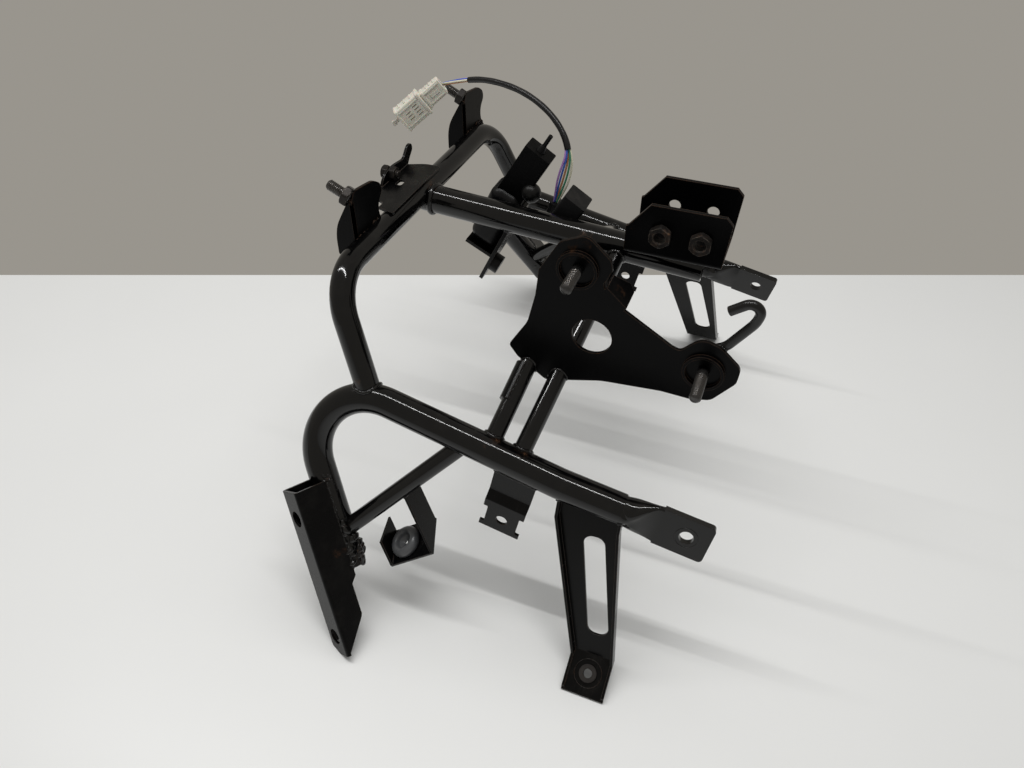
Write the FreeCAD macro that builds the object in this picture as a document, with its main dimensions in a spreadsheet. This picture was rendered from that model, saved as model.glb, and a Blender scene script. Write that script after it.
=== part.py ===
import FreeCAD, Part
import math
import os

import Sketcher
from FreeCAD import Placement, Rotation, Vector

# Motorcycle fairing stay: a welded tube frame with pressed brackets, an actuator and its lead.
# Frame: +X to the motorcycle's left, +Y to its rear, +Z up, origin on the surface it stands on.

doc = FreeCAD.newDocument("fairing_stay")
sheet = doc.addObject("Spreadsheet::Sheet", "sizes")

# Every size is in millimetres or degrees. "back" is measured rearwards from the front cross tube.
SIZES = {
    # Frame tubes
    "loop_front": -127.4,
    "main_od": 22.2,
    "main_wall": 2.0,
    "loop_od": 18.0,
    "loop_wall": 1.8,
    "strut_od": 13.2,
    "strut_wall": 1.6,
    "loop_top": 250.3,
    "loop_half_width": 136.5,
    "loop_bend": 38.0,
    "tee_side": 157.0,
    "tee_back": 29.5,
    "tee_height": 170.0,
    "spine_front_height": 245.5,
    "spine_rear_height": 232.5,
    "spine_length_back": 229.5,
    # Lower tubes
    "nose_side": 155.2,
    "nose_back": -40.3,
    "nose_height": 185.9,
    "nose_bend": 44.2,
    "waist_side": 161.2,
    "waist_back": 177.0,
    "waist_height": 140.7,
    "waist_bend": 160.0,
    "end_side": 159.7,
    "end_back": 282.5,
    "end_height": 121.6,
    "flat_height": 30.0,
    "flat_thickness": 5.0,
    "flat_taper": 26.0,
    "flat_length": 36.0,
    "flat_lean": 15.0,
    "flat_hole": 10.0,
    "flat_hole_back": 20.0,
    # Struts
    "front_strut_foot_back": 122.2,
    "front_strut_top_back": 139.5,
    "rear_strut_foot_back": 143.7,
    "rear_strut_top_back": 166.0,
    "diagonal_top_back": 107.1,
    # Channel brackets, leaning outwards with the tube's nose
    "channel_from_nose": 58.7,
    "channel_behind_nose": 16.4,
    "channel_below_nose": 81.9,
    "channel_out": 0.375,
    "channel_rear": 0.418,
    "channel_roll": 251.4,
    "channel_depth": 25.3,
    "channel_length": 133.0,
    "channel_wall": 2.0,
    "channel_bend": 3.0,
    "channel_hole": 12.5,
    "channel_hole_top": 21.5,
    "channel_hole_pitch": 96.7,
    "channel_cut_start": 108.0,
    "channel_step_start": 76.0,
    "channel_step": 4.5,
    "nose_seat": 29.8,
    "nose_overlap": 72.0,
    "diagonal_foot_down": 45.0,
    # Grommet straps under the diagonal struts
    "strap_wall": 2.0,
    "strap_width": 29.7,
    "strap_floor": 40.8,
    "strap_short_leg": 20.0,
    "strap_long_leg": 47.0,
    "strap_slant": 41.5,
    "strap_down_strut": 78.92,
    "strap_below_strut": 41.19,
    "strap_beside_strut": 31.75,
    "grommet_od": 25.4,
    "grommet_hole": 13.0,
    "grommet_height": 7.0,
    "grommet_along": 26.0,
    "grommet_across": 15.5,
    # Leg brackets
    "leg_wall": 2.0,
    "leg_side_at_floor": 210.1,
    "leg_lean": 21.06,
    "leg_top_height": 115.8,
    "leg_rise": 16.0,
    "leg_top_front": 177.2,
    "leg_top_rear": 223.9,
    "leg_fold_front": 207.4,
    "leg_fold_rear": 239.3,
    "leg_fold_down": 107.5,
    "leg_lip": 8.0,
    "slot_width": 16.0,
    "slot_top": 9.6,
    "slot_bottom": 89.0,
    "slot_top_back": 206.3,
    "slot_bottom_back": 223.6,
    "slot_corner": 6.5,
    "foot_slope": 30.0,
    "foot_hole": 6.5,
    "foot_nut_od": 13.0,
    "foot_nut_height": 3.0,
    # Clip tabs under the lower tubes
    "tab_wall": 2.0,
    "tab_back": 147.5,
    "tab_side": 5.5,
    "tab_width": 31.8,
    "tab_first_fold": 29.3,
    "tab_second_fold": 36.3,
    "tab_jog": 5.0,
    "tab_neck_top": 43.0,
    "tab_bottom": 66.3,
    "tab_neck": 25.0,
    "tab_foot_height": 4.5,
    "tab_hole_width": 9.0,
    # Steering head bracket
    "head_wall": 3.0,
    "head_half_width": 23.7,
    "head_front": 173.0,
    "head_rear": 245.7,
    "head_floor_height": 246.0,
    "head_cheek_rise": 41.0,
    "head_bend": 4.0,
    "head_hole": 9.0,
    "head_hole_pitch": 28.4,
    "head_hole_back": 212.5,
    "head_hole_rise": 20.0,
    "head_nut_width": 15.0,
    "head_nut_height": 6.0,
    "head_nut_bore": 8.0,
    # Instrument plate, measured from the place where the front strut meets it
    "plate_side": 100.0,
    "plate_wall": 2.5,
    "plate_cup": 27.5,
    "plate_cup_wall": 2.0,
    "plate_cup_height": 3.0,
    "plate_upper_back": 32.9,
    "plate_upper_rise": 91.1,
    "plate_rear_back": 122.4,
    "plate_rear_rise": 33.6,
    "plate_hole": 28.0,
    "plate_hole_back": 45.6,
    "plate_hole_rise": 40.2,
    "plate_flange": 24.0,
    "stud_od": 8.0,
    "upper_stud_length": 25.5,
    "rear_stud_length": 29.0,
    "hook_od": 6.5,
    "saddle_wall": 2.0,
    "saddle_length": 30.0,
    # Screen brackets
    "screen_stud_side": 94.4,
    "screen_stud_back": -3.2,
    "screen_stud_height": 288.6,
    "screen_stud_length": 18.0,
    "screen_shoulder_od": 9.0,
    "screen_tilt": 25.5,
    "screen_wall": 2.0,
    "screen_web": 25.0,
    "screen_nut_width": 13.0,
    "screen_nut_height": 5.0,
    # Centre plate on the cross tube
    "centre_wall": 2.0,
    "centre_bolt_od": 6.0,
    "centre_bolt_head": 10.0,
    # Actuator, its strip and socket block, and the sensor
    "actuator_side": 13.0,
    "actuator_back": 43.0,
    "actuator_height": 202.0,
    "actuator_tilt": 26.0,
    "actuator_width": 28.0,
    "actuator_depth": 32.0,
    "actuator_length": 56.0,
    "strip_wall": 3.0,
    "flange_width": 22.0,
    "flange_setback": 2.0,
    "flange_wall": 3.0,
    "bush_od": 16.0,
    "bush_length": 7.0,
    "bush_side": 8.0,
    "strip_near": 6.0,
    "strip_tail": 18.0,
    "socket_side": 18.0,
    "socket_back": 66.0,
    "socket_height": 247.0,
    "socket_tilt": 31.0,
    "socket_width": 23.0,
    "socket_depth": 16.0,
    "socket_length": 48.0,
    "stalk_od": 3.4,
    "stalk_length": 15.0,
    "boot_side": 20.0,
    "boot_back": 85.5,
    "boot_height": 254.6,
    "boot_od": 16.0,
    "sensor_side": 8.0,
    "sensor_back": 113.6,
    "sensor_height": 239.7,
    "sensor_width": 19.0,
    "sensor_depth": 21.0,
    "sensor_length": 22.5,
    "lug_od": 9.0,
    "lug_length": 9.0,
    # Lead and connector
    "lead_od": 5.0,
    "connector_width": 15.0,
    "connector_depth": 10.0,
    "connector_length": 20.0,
    "plug_width": 22.0,
    "plug_depth": 14.0,
    "plug_length": 26.0,
    "latch_length": 8.0,
    "latch_width": 5.0,
    "latch_wall": 2.0,
}
for row, (alias, value) in enumerate(SIZES.items(), start=1):
    sheet.set("A%d" % row, alias)
    sheet.set("B%d" % row, str(value))
    sheet.setAlias("B%d" % row, alias)
doc.recompute()


def size(alias):
    return float(getattr(sheet, alias))


def at(side, back, height):
    return Vector(side, size("loop_front") + back, height)


def frame_of(origin, x_axis, y_axis):
    x = Vector(x_axis).normalize()
    z = x.cross(Vector(y_axis)).normalize()
    y = z.cross(x)
    matrix = FreeCAD.Matrix(x.x, y.x, z.x, origin.x, x.y, y.y, z.y, origin.y,
                            x.z, y.z, z.z, origin.z, 0, 0, 0, 1)
    return Placement(matrix)


def bind(thing, **cells):
    for prop, formula in cells.items():
        thing.setExpression(prop, formula)
    return thing


# Sub-parts are collected in the order in which they are written.
finished = []


def finish(thing, label):
    thing.Label = label
    finished.append(thing)
    return thing


def feature(name, shape):
    thing = doc.addObject("Part::Feature", name)
    thing.Shape = shape
    return thing


def cut(name, base, *tools):
    for index, tool in enumerate(tools):
        step = doc.addObject("Part::Cut", "%s_cut_%d" % (name, index))
        step.Base = base
        step.Tool = tool
        base = step
    return base


def fuse(name, *pieces):
    joined = doc.addObject("Part::MultiFuse", name)
    joined.Shapes = list(pieces)
    joined.Refine = True
    return joined


def mirror(name, source):
    twin = doc.addObject("Part::Mirroring", name)
    twin.Source = source
    twin.Base = Vector(0, 0, 0)
    twin.Normal = Vector(1, 0, 0)
    return twin


def pair(left, stem):
    finish(left, "left_" + stem)
    finish(mirror("right_" + stem, left), "right_" + stem)


# Outlines and routes

def rounded(points):
    """Closed outline from (x, y, corner radius) points, as lines and arcs."""
    count = len(points)
    corners = []
    for index in range(count):
        x, y, radius = points[index]
        here = Vector(x, y, 0)
        before = Vector(points[index - 1][0], points[index - 1][1], 0)
        after = Vector(points[(index + 1) % count][0], points[(index + 1) % count][1], 0)
        inward = (before - here).normalize()
        onward = (after - here).normalize()
        half = inward.getAngle(onward) / 2
        if radius <= 0 or half > math.radians(89.5):
            corners.append((here, None, here))
            continue
        reach = radius / math.tan(half)
        middle = here + (inward + onward).normalize() * (radius / math.sin(half) - radius)
        corners.append((here + inward * reach, middle, here + onward * reach))
    edges = []
    for index in range(count):
        start, middle, end = corners[index]
        if middle is not None:
            edges.append(Part.Arc(start, middle, end))
        following = corners[(index + 1) % count][0]
        if end.distanceToPoint(following) > 1e-4:
            edges.append(Part.LineSegment(end, following))
    return edges


def route(points, radii):
    """Open path of straight runs joined by tangent arcs."""
    edges = []
    last = points[0]
    for index in range(1, len(points) - 1):
        here = points[index]
        inward = (points[index - 1] - here).normalize()
        onward = (points[index + 1] - here).normalize()
        half = inward.getAngle(onward) / 2
        radius = radii[index - 1]
        reach = radius / math.tan(half)
        start = here + inward * reach
        end = here + onward * reach
        middle = here + (inward + onward).normalize() * (radius / math.sin(half) - radius)
        edges.append(Part.LineSegment(last, start).toShape())
        edges.append(Part.Arc(start, middle, end).toShape())
        last = end
    edges.append(Part.LineSegment(last, points[-1]).toShape())
    return Part.Wire(edges)


def swept(name, path, start, direction, diameter):
    """Solid swept along a path by a circle whose radius is bound to the sheet."""
    spine = feature(name + "_path", path)
    ring = doc.addObject("Part::Circle", name + "_ring")
    bind(ring, Radius="sizes.%s / 2" % diameter if isinstance(diameter, str) else "0")
    ring.Placement = Placement(start, Rotation(Vector(0, 0, 1), direction))
    sweep = doc.addObject("Part::Sweep", name + "_sweep")
    sweep.Sections = [ring]
    sweep.Spine = (spine, ["Edge%d" % (n + 1) for n in range(len(path.Edges))])
    sweep.Solid = True
    sweep.Frenet = False
    return sweep


def bent_tube(name, points, radii, od, wall):
    """Outer solid and bore of a bent tube."""
    path = route(points, radii)
    direction = points[1] - points[0]
    outer = swept(name + "_outer", path, points[0], direction, od)
    bore = swept(name + "_bore", path, points[0], direction, od)
    bore_ring = bore.Sections[0]
    bore_ring.setExpression("Radius", "sizes.%s / 2 - sizes.%s" % (od, wall))
    return outer, bore


def rod(name, start, end, od, wall=None):
    """Straight round bar, or tube bore when a wall is given."""
    bar = doc.addObject("Part::Cylinder", name)
    radius = "sizes.%s / 2" % od
    if wall:
        radius += " - sizes.%s" % wall
    bar.setExpression("Radius", radius)
    bar.Height = (end - start).Length
    bar.Placement = Placement(start, Rotation(Vector(0, 0, 1), end - start))
    return bar


# Bodies made from sketches

def new_body(name, placement=None):
    body = doc.addObject("PartDesign::Body", name)
    if placement is not None:
        body.Placement = placement
    return body


def sketch_on(body, role, name, offset=0.0):
    sketch = body.newObject("Sketcher::SketchObject", name)
    plane = [f for f in body.Origin.OriginFeatures if f.Role == role][0]
    sketch.AttachmentSupport = [(plane, "")]
    sketch.MapMode = "FlatFace"
    if offset:
        sketch.AttachmentOffset = Placement(Vector(0, 0, offset), Rotation())
    return sketch


def add_circle(sketch, x, y, diameter):
    index = sketch.addGeometry(Part.Circle(Vector(x, y, 0), Vector(0, 0, 1), size(diameter) / 2), False)
    constraint = sketch.addConstraint(Sketcher.Constraint("Diameter", index, size(diameter)))
    sketch.setExpression("Constraints[%d]" % constraint, "sizes.%s" % diameter)


def pad(body, sketch, name, length, both=False, back=False):
    made = body.newObject("PartDesign::Pad", name)
    made.Profile = sketch
    made.setExpression("Length", length)
    made.Midplane = both
    made.Reversed = back
    return made


def pocket(body, sketch, name):
    """Pocket through everything, both ways from its sketch."""
    made = body.newObject("PartDesign::Pocket", name)
    made.Profile = sketch
    made.Type = "ThroughAll"
    made.Midplane = True
    return made


def sheet_plate(name, outline, thickness, placement, holes=(), role="XY_Plane"):
    """Flat plate: one outline, padded, with round holes given as (x, y, diameter alias)."""
    body = new_body(name, placement)
    profile = sketch_on(body, role, name + "_outline")
    profile.addGeometry(rounded(outline), False)
    for x, y, diameter in holes:
        add_circle(profile, x, y, diameter)
    pad(body, profile, name + "_pad", "sizes." + thickness)
    return body


def hexagon(name, width, height, placement):
    nut = doc.addObject("Part::Prism", name)
    nut.Polygon = 6
    nut.setExpression("Circumradius", "sizes.%s / 2 / cos(30)" % width)
    nut.setExpression("Height", "sizes.%s" % height)
    nut.Placement = placement
    return nut


# Front loop: the cross tube and both uprights in one bent piece

loop_top = size("loop_top")
loop_side = size("loop_half_width")
left_tee = at(size("tee_side"), size("tee_back"), size("tee_height"))
right_tee = at(-size("tee_side"), size("tee_back"), size("tee_height"))
loop_points = [right_tee, at(-loop_side, 0, loop_top), at(loop_side, 0, loop_top), left_tee]
loop_outer, loop_bore = bent_tube("loop", loop_points, [size("loop_bend")] * 2, "loop_od", "loop_wall")

# Spine

spine_start = at(0, 0, size("spine_front_height"))
spine_end = at(0, size("spine_length_back"), size("spine_rear_height"))
spine_run = (spine_end - spine_start).normalize()
spine_outer = rod("spine_outer", spine_start, spine_end, "main_od")
spine_bore = rod("spine_bore", spine_start, spine_end, "main_od", "main_wall")

# Lower tube: bent nose, straight run, gentle waist and flattened rear end

nose = at(size("nose_side"), size("nose_back"), size("nose_height"))
waist = at(size("waist_side"), size("waist_back"), size("waist_height"))
eye_end = at(size("end_side"), size("end_back"), size("end_height"))
end_run = (eye_end - waist).normalize()
flat_start = eye_end - end_run * (size("flat_length") + size("flat_taper"))
out = size("channel_out")
rear = size("channel_rear")
channel_down = Vector(out, rear, -math.sqrt(1 - out ** 2 - rear ** 2))
level = channel_down.cross(Vector(0, 0, 1)).normalize()
roll = math.radians(size("channel_roll"))
channel_across = level * math.cos(roll) + channel_down.cross(level) * math.sin(roll)
channel_inward = channel_across.cross(channel_down)
channel_corner = nose + Vector(size("channel_from_nose"), size("channel_behind_nose"), -size("channel_below_nose"))
main_radius = size("main_od") / 2
# The edges of the channel's flanges bear on the nose of the tube.
mouth = 2 * math.sqrt(main_radius ** 2 - (size("nose_seat") - size("channel_depth")) ** 2)
channel_width = mouth + 2 * size("channel_wall")
nose_end = nose + channel_down * ((channel_corner - nose).dot(channel_down) + size("nose_overlap"))
lower_points = [nose_end, nose, waist, flat_start]
lower_outer, lower_bore = bent_tube("lower", lower_points, [size("nose_bend"), size("waist_bend")],
                                    "main_od", "main_wall")


def oval(half_width, half_height, place):
    """Closed section of four edges that runs from a circle to a flat bar."""
    turn = math.radians(60)
    x = half_width * math.cos(turn) if half_width > half_height * 0.9 else half_width * 0.98
    y = half_height * math.sin(turn) if half_width > half_height * 0.9 else half_height - half_width * 0.9
    points = [Vector(x, -y, 0), Vector(half_width, 0, 0), Vector(x, y, 0), Vector(0, half_height, 0),
              Vector(-x, y, 0), Vector(-half_width, 0, 0), Vector(-x, -y, 0), Vector(0, -half_height, 0)]
    edges = []
    for index in (0, 2, 4, 6):
        three = points[index], points[index + 1], points[(index + 2) % 8]
        edges.append(Part.Arc(*three).toShape())
    wire = Part.Wire(edges)
    wire.Placement = place
    return wire


def flattened_end():
    """Pressed end of the lower tube: a short taper and a flat eye with its bolt hole."""
    run = end_run
    lean = math.radians(size("flat_lean"))
    up = Vector(1, 0, 0).cross(run).normalize()
    wide = run.cross(up)
    tall = up * math.cos(lean) - wide * math.sin(lean)
    thin = tall.cross(run) * -1
    taper = size("flat_taper")
    steps = []
    for share in (0.0, 0.25, 0.6, 1.0):
        blend = share * share * (3 - 2 * share)
        half_thin = main_radius + (size("flat_thickness") / 2 - main_radius) * blend
        half_tall = main_radius + (size("flat_height") / 2 - main_radius) * blend
        tilt = lean * blend
        section_tall = up * math.cos(tilt) - wide * math.sin(tilt)
        place = frame_of(flat_start + run * taper * share, section_tall.cross(run) * -1, section_tall)
        steps.append(oval(half_thin, half_tall, place))
    neck = Part.makeLoft(steps, True, False)
    length = size("flat_length")
    half = size("flat_height") / 2
    plate_start = flat_start + run * taper
    place = frame_of(plate_start, run, tall)
    eye = Part.Face(Part.Wire([e.toShape() for e in rounded([(0, -half, 0), (length, -half, 3), (length, half, 3),
                                                             (0, half, 0)])]))
    eye.Placement = place
    normal = place.Rotation.multVec(Vector(0, 0, 1))
    eye.translate(normal * (-size("flat_thickness") / 2))
    plate = eye.extrude(normal * size("flat_thickness"))
    hole_centre = plate_start + run * size("flat_hole_back")
    hole = Part.makeCylinder(size("flat_hole") / 2, 20, hole_centre - normal * 10, normal)
    return neck.fuse(plate).cut(hole).removeSplitter(), hole_centre, normal


end_shape, end_hole, end_normal = flattened_end()
lower_end = feature("lower_end", end_shape)
lower_tube = fuse("left_lower_tube", cut("lower_hollow", lower_outer, lower_bore), lower_end)
lower_far = mirror("right_lower_tube", lower_tube)
lower_outer_far = mirror("lower_outer_far", lower_outer)

# The uprights of the loop are coped over the lower tubes, and the spine over the cross tube.
loop_tube = cut("loop_tube", loop_outer, loop_bore, lower_outer, lower_outer_far)
finish(loop_tube, "top_loop_tube")
spine_tube = cut("spine_tube", spine_outer, spine_bore, loop_outer)
finish(spine_tube, "spine_tube")
finish(lower_tube, "left_lower_tube")
finish(lower_far, "right_lower_tube")

# Weld collar where the spine meets the cross tube

collar = doc.addObject("Part::Torus", "collar")
collar.setExpression("Radius1", "sizes.main_od / 2")
collar.Radius2 = 2.2
collar.Placement = Placement(spine_start + spine_run * (size("loop_od") / 2 + 1.5),
                             Rotation(Vector(0, 0, 1), spine_run))
finish(cut("spine_weld_trim", collar, spine_outer, loop_outer), "spine_weld")


# Struts from the lower tubes up to the spine

def on_lower(back):
    share = (back - size("nose_back")) / (size("waist_back") - size("nose_back"))
    return nose + (waist - nose) * share


def on_spine(back):
    return spine_start + (spine_end - spine_start) * (back / size("spine_length_back"))


def strut(name, foot, top, mates):
    """Hollow strut coped to its mates, and its solid bar for cutting other pieces."""
    bar = rod(name + "_bar", foot, top, "strut_od")
    bore = rod(name + "_hollow", foot, top, "strut_od", "strut_wall")
    return cut(name, bar, bore, *mates), bar


front_foot = on_lower(size("front_strut_foot_back"))
front_top = on_spine(size("front_strut_top_back"))
rear_foot = on_lower(size("rear_strut_foot_back"))
rear_top = on_spine(size("rear_strut_top_back"))
front_strut, front_bar = strut("front_strut", front_foot, front_top, (lower_outer, spine_outer))
rear_strut, rear_bar = strut("rear_strut", rear_foot, rear_top, (lower_outer, spine_outer))
pair(front_strut, "front_strut")
pair(rear_strut, "rear_strut")

# Channel bracket: a pressed channel whose flanges end on the nose of the lower tube

channel_place = frame_of(channel_corner + channel_across * ((26.2 - channel_width) / 2),
                         channel_across, channel_inward)
channel_body = new_body("channel_body", channel_place)
wall = size("channel_wall")
depth = size("channel_depth")
bend = size("channel_bend")
section = sketch_on(channel_body, "XY_Plane", "channel_section")
section.addGeometry(rounded([(0, 0, bend), (channel_width, 0, bend), (channel_width, depth, 0),
                             (channel_width - wall, depth, 0), (channel_width - wall, wall, bend - wall),
                             (wall, wall, bend - wall), (wall, depth, 0), (0, depth, 0)]), False)
pad(channel_body, section, "channel_pad", "sizes.channel_length", back=True)
trim = sketch_on(channel_body, "YZ_Plane", "channel_trim")
low = -size("channel_length")
step_edge = depth - size("channel_step")
trim.addGeometry(rounded([(depth + 1, -size("channel_step_start"), 0), (step_edge, -size("channel_step_start") - 6, 2),
                          (step_edge, -size("channel_cut_start"), 6), (3, low + 2, 0), (3, low - 2, 0),
                          (depth + 1, low - 2, 0)]), False)
pocket(channel_body, trim, "channel_trim_pocket")
eyes = sketch_on(channel_body, "XZ_Plane", "channel_eyes")
for down in (size("channel_hole_top"), size("channel_hole_top") + size("channel_hole_pitch")):
    add_circle(eyes, channel_width / 2, -down, "channel_hole")
pocket(channel_body, eyes, "channel_eye_pocket")
floor_block = doc.addObject("Part::Box", "floor_block")
floor_block.Length = 1200
floor_block.Width = 1200
floor_block.Height = 100
floor_block.Placement = Placement(Vector(-600, -600, -100), Rotation())
channel = cut("channel", channel_body, floor_block, lower_outer)
pair(channel, "channel_bracket")

# Diagonal strut from the lower tube out to the nose

nose_line = nose_end - channel_down * (size("nose_overlap") - size("diagonal_foot_down"))
diagonal_top = on_lower(size("diagonal_top_back"))
diagonal, diagonal_bar = strut("diagonal_strut", diagonal_top, nose_line, (lower_outer, channel))
pair(diagonal, "diagonal_strut")

# Strap that carries the rubber grommet below the diagonal strut

diagonal_frame = frame_of(diagonal_top, nose_line - diagonal_top, Vector(0, 0, 1))
strap_along = diagonal_frame.Rotation.multVec(Vector(0.9682, 0.1057, 0.2170))
strap_wide = diagonal_frame.Rotation.multVec(Vector(-0.2238, 0.0386, 0.9744))
strap_corner = diagonal_frame.multVec(Vector(size("strap_down_strut"), -size("strap_below_strut"),
                                             -size("strap_beside_strut")))
strap_place = frame_of(strap_corner, strap_along, strap_wide)
strap_floor = size("strap_floor")
strap_width = size("strap_width")
slant = math.tan(math.radians(size("strap_slant")))


def strap_leg(name, along, length):
    """Leg plate, slanted sideways, standing on one end of the floor."""
    rise = length * math.cos(math.radians(size("strap_slant")))
    body = new_body(name, strap_place)
    profile = sketch_on(body, "YZ_Plane", name + "_outline", along)
    profile.addGeometry(rounded([(0, 0, 0), (strap_width, 0, 0), (strap_width + slant * rise * 0.6, -rise * 0.6, 0),
                                 (slant * rise, -rise, 0)]), False)
    pad(body, profile, name + "_pad", "sizes.strap_wall", back=along > 0)
    return body


strap_floor_plate = sheet_plate("strap_floor_plate", [(0, 0, 0), (strap_floor, 0, 0), (strap_floor, strap_width, 0),
                                                      (0, strap_width, 0)], "strap_wall", strap_place,
                                [(size("grommet_along"), size("grommet_across"), "grommet_hole")])
strap = cut("strap", fuse("strap_plates", strap_floor_plate, strap_leg("strap_near_leg", 0, size("strap_long_leg")),
                          strap_leg("strap_far_leg", strap_floor, size("strap_short_leg"))), diagonal_bar)
pair(strap, "grommet_strap")

grommet_body = new_body("grommet_body", strap_place * Placement(
    Vector(size("grommet_along"), size("grommet_across"), 0), Rotation()))
grommet_half = sketch_on(grommet_body, "XZ_Plane", "grommet_half")
bore_radius = size("grommet_hole") / 2
grommet_half.addGeometry(rounded([(bore_radius - 2.5, 0, 0.5), (size("grommet_od") / 2, 0, 2.0),
                                  (size("grommet_od") / 2, -size("grommet_height") + 2, 2.0),
                                  (bore_radius - 2.5, -size("grommet_height"), 2.5)]), False)
ring = grommet_body.newObject("PartDesign::Revolution", "grommet_turn")
ring.Profile = grommet_half
ring.ReferenceAxis = (grommet_half, ["V_Axis"])
ring.Angle = 360
pair(grommet_body, "grommet")

# Leg bracket: a tapering flanged plate with a long slot and a folded foot

lean = math.radians(size("leg_lean"))
leg_top = size("leg_top_height")
leg_origin = Vector(size("leg_side_at_floor") - math.tan(lean) * leg_top, size("loop_front"), leg_top)
leg_downward = Vector(math.sin(lean), 0, -math.cos(lean))
leg_place = frame_of(leg_origin, Vector(0, 1, 0), leg_downward)
fold_down = size("leg_fold_down")
leg_rise = -size("leg_rise")
web_outline = [(size("leg_top_front"), leg_rise, 0), (size("leg_top_rear"), leg_rise, 0),
               (size("leg_top_rear"), 0, 0),
               (size("leg_fold_rear"), fold_down, 0), (size("leg_fold_front"), fold_down, 0),
               (size("leg_top_front"), 0, 0)]
leg_web = new_body("leg_web", leg_place)
web_sketch = sketch_on(leg_web, "XY_Plane", "leg_web_outline")
web_sketch.addGeometry(rounded(web_outline), False)
half_slot = size("slot_width") / 2
corner = size("slot_corner")
web_sketch.addGeometry(rounded([(size("slot_top_back") - half_slot, size("slot_top"), corner),
                                (size("slot_top_back") + half_slot, size("slot_top"), corner),
                                (size("slot_bottom_back") + half_slot, size("slot_bottom"), corner),
                                (size("slot_bottom_back") - half_slot, size("slot_bottom"), corner)]), False)
pad(leg_web, web_sketch, "leg_web_pad", "sizes.leg_wall", back=True)
leg_out = leg_place.Rotation.multVec(Vector(0, 0, 1))


def leg_point(back, down, off=0.0):
    return leg_place.multVec(Vector(back, down, off))


slope = math.radians(size("foot_slope"))
foot_run = Vector(math.cos(slope), 0, -math.sin(slope))


def prism(name, corners, push):
    """Flat plate through the given corners, thickened along a vector."""
    face = Part.Face(Part.makePolygon(corners + corners[:1]))
    return feature(name, face.extrude(push))


fold_front = leg_point(size("leg_fold_front"), fold_down)
fold_rear = leg_point(size("leg_fold_rear"), fold_down)
foot_down = foot_run * (fold_front.z / math.sin(slope))
foot_normal = foot_run.cross(Vector(0, 1, 0)).normalize()
foot_normal = foot_normal * (1 if foot_normal.z > 0 else -1)
leg_foot = prism("leg_foot", [fold_front, fold_rear, fold_rear + foot_down, fold_front + foot_down],
                 foot_normal * size("leg_wall"))
outward = Vector(leg_out) * (1 if leg_out.x > 0 else -1)
lip = size("leg_lip")


def leg_lip(name, back_top, back_fold, inward):
    top = leg_point(back_top, 0)
    fold = leg_point(back_fold, fold_down)
    toe = fold + foot_down
    thick = Vector(0, size("leg_wall") * inward, 0)
    upper = prism(name + "_upper", [top, fold, fold + outward * lip, top + outward * lip], thick)
    lower = prism(name + "_lower", [fold, toe, toe + Vector(0, 0, 5.5), fold + outward * lip], thick)
    head = top - leg_downward * size("leg_rise")
    weld = prism(name + "_weld", [top, top + outward * lip, head + outward * lip, head], thick)
    return fuse(name, weld, upper, lower)


leg_parts = fuse("leg_parts", leg_web, leg_foot,
                 leg_lip("leg_front_lip", size("leg_top_front"), size("leg_fold_front"), 1),
                 leg_lip("leg_rear_lip", size("leg_top_rear"), size("leg_fold_rear"), -1))
foot_centre = (fold_front + fold_rear) * 0.5 + foot_down * 0.48
foot_drill = doc.addObject("Part::Cylinder", "foot_drill")
foot_drill.setExpression("Radius", "sizes.foot_hole / 2")
foot_drill.Height = 30
foot_drill.Placement = Placement(foot_centre - foot_normal * 15, Rotation(Vector(0, 0, 1), foot_normal))
leg = cut("leg", leg_parts, foot_drill, lower_outer, lower_end, floor_block)
pair(leg, "leg_bracket")

foot_seat = foot_centre + foot_normal * size("leg_wall")
foot_nut_ring = doc.addObject("Part::Cylinder", "foot_nut_ring")
foot_nut_ring.setExpression("Radius", "sizes.foot_nut_od / 2")
foot_nut_ring.setExpression("Height", "sizes.foot_nut_height")
foot_nut_ring.Placement = Placement(foot_seat, Rotation(Vector(0, 0, 1), foot_normal))
pair(cut("foot_nut", foot_nut_ring, foot_drill), "foot_nut")

# Clip tab: a joggled plate with a hooked foot, welded to the lower tube and square to it

lower_run = (waist - nose).normalize()
tab_wall = size("tab_wall")
tab_side = size("tab_side")
tab_width = size("tab_width")
tab_outer = tab_side + size("tab_jog")
tab_fold_one = -size("tab_first_fold")
tab_fold_two = -size("tab_second_fold")
tab_bottom = -size("tab_bottom")
tab_neck_top = -size("tab_neck_top")
tab_place = frame_of(on_lower(size("tab_back")), Vector(1, 0, 0), lower_run)
tab_body = new_body("tab_body", tab_place * Placement(Vector(0, -tab_width / 2, 0), Rotation()))
tab_edge = sketch_on(tab_body, "XZ_Plane", "tab_edge")
tab_edge.addGeometry(rounded([(tab_side, 0, 0), (tab_side, tab_fold_one, 1), (tab_outer, tab_fold_two, 1),
                              (tab_outer, tab_bottom, 0), (tab_outer + tab_wall, tab_bottom, 0),
                              (tab_outer + tab_wall, tab_fold_two + 1, 1), (tab_side + tab_wall, tab_fold_one + 1, 1),
                              (tab_side + tab_wall, 0, 0)]), False)
pad(tab_body, tab_edge, "tab_pad", "sizes.tab_width", back=True)
tab_notch = sketch_on(tab_body, "YZ_Plane", "tab_notch")
neck_gap = (tab_width - size("tab_neck")) / 2
foot_top = tab_bottom + size("tab_foot_height")
for edge, sign in ((0, -1), (tab_width, 1)):
    inner = edge - sign * neck_gap
    outer = edge + sign * 2
    tab_notch.addGeometry(rounded([(outer, tab_neck_top, 0), (inner, tab_neck_top, 1), (inner, foot_top, 1),
                                   (outer, foot_top, 0)]), False)
pocket(tab_body, tab_notch, "tab_notch_pocket")
tab_hole = sketch_on(tab_body, "YZ_Plane", "tab_hole")
add_circle(tab_hole, tab_width / 2, (tab_neck_top + foot_top) / 2, "tab_hole_width")
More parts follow.
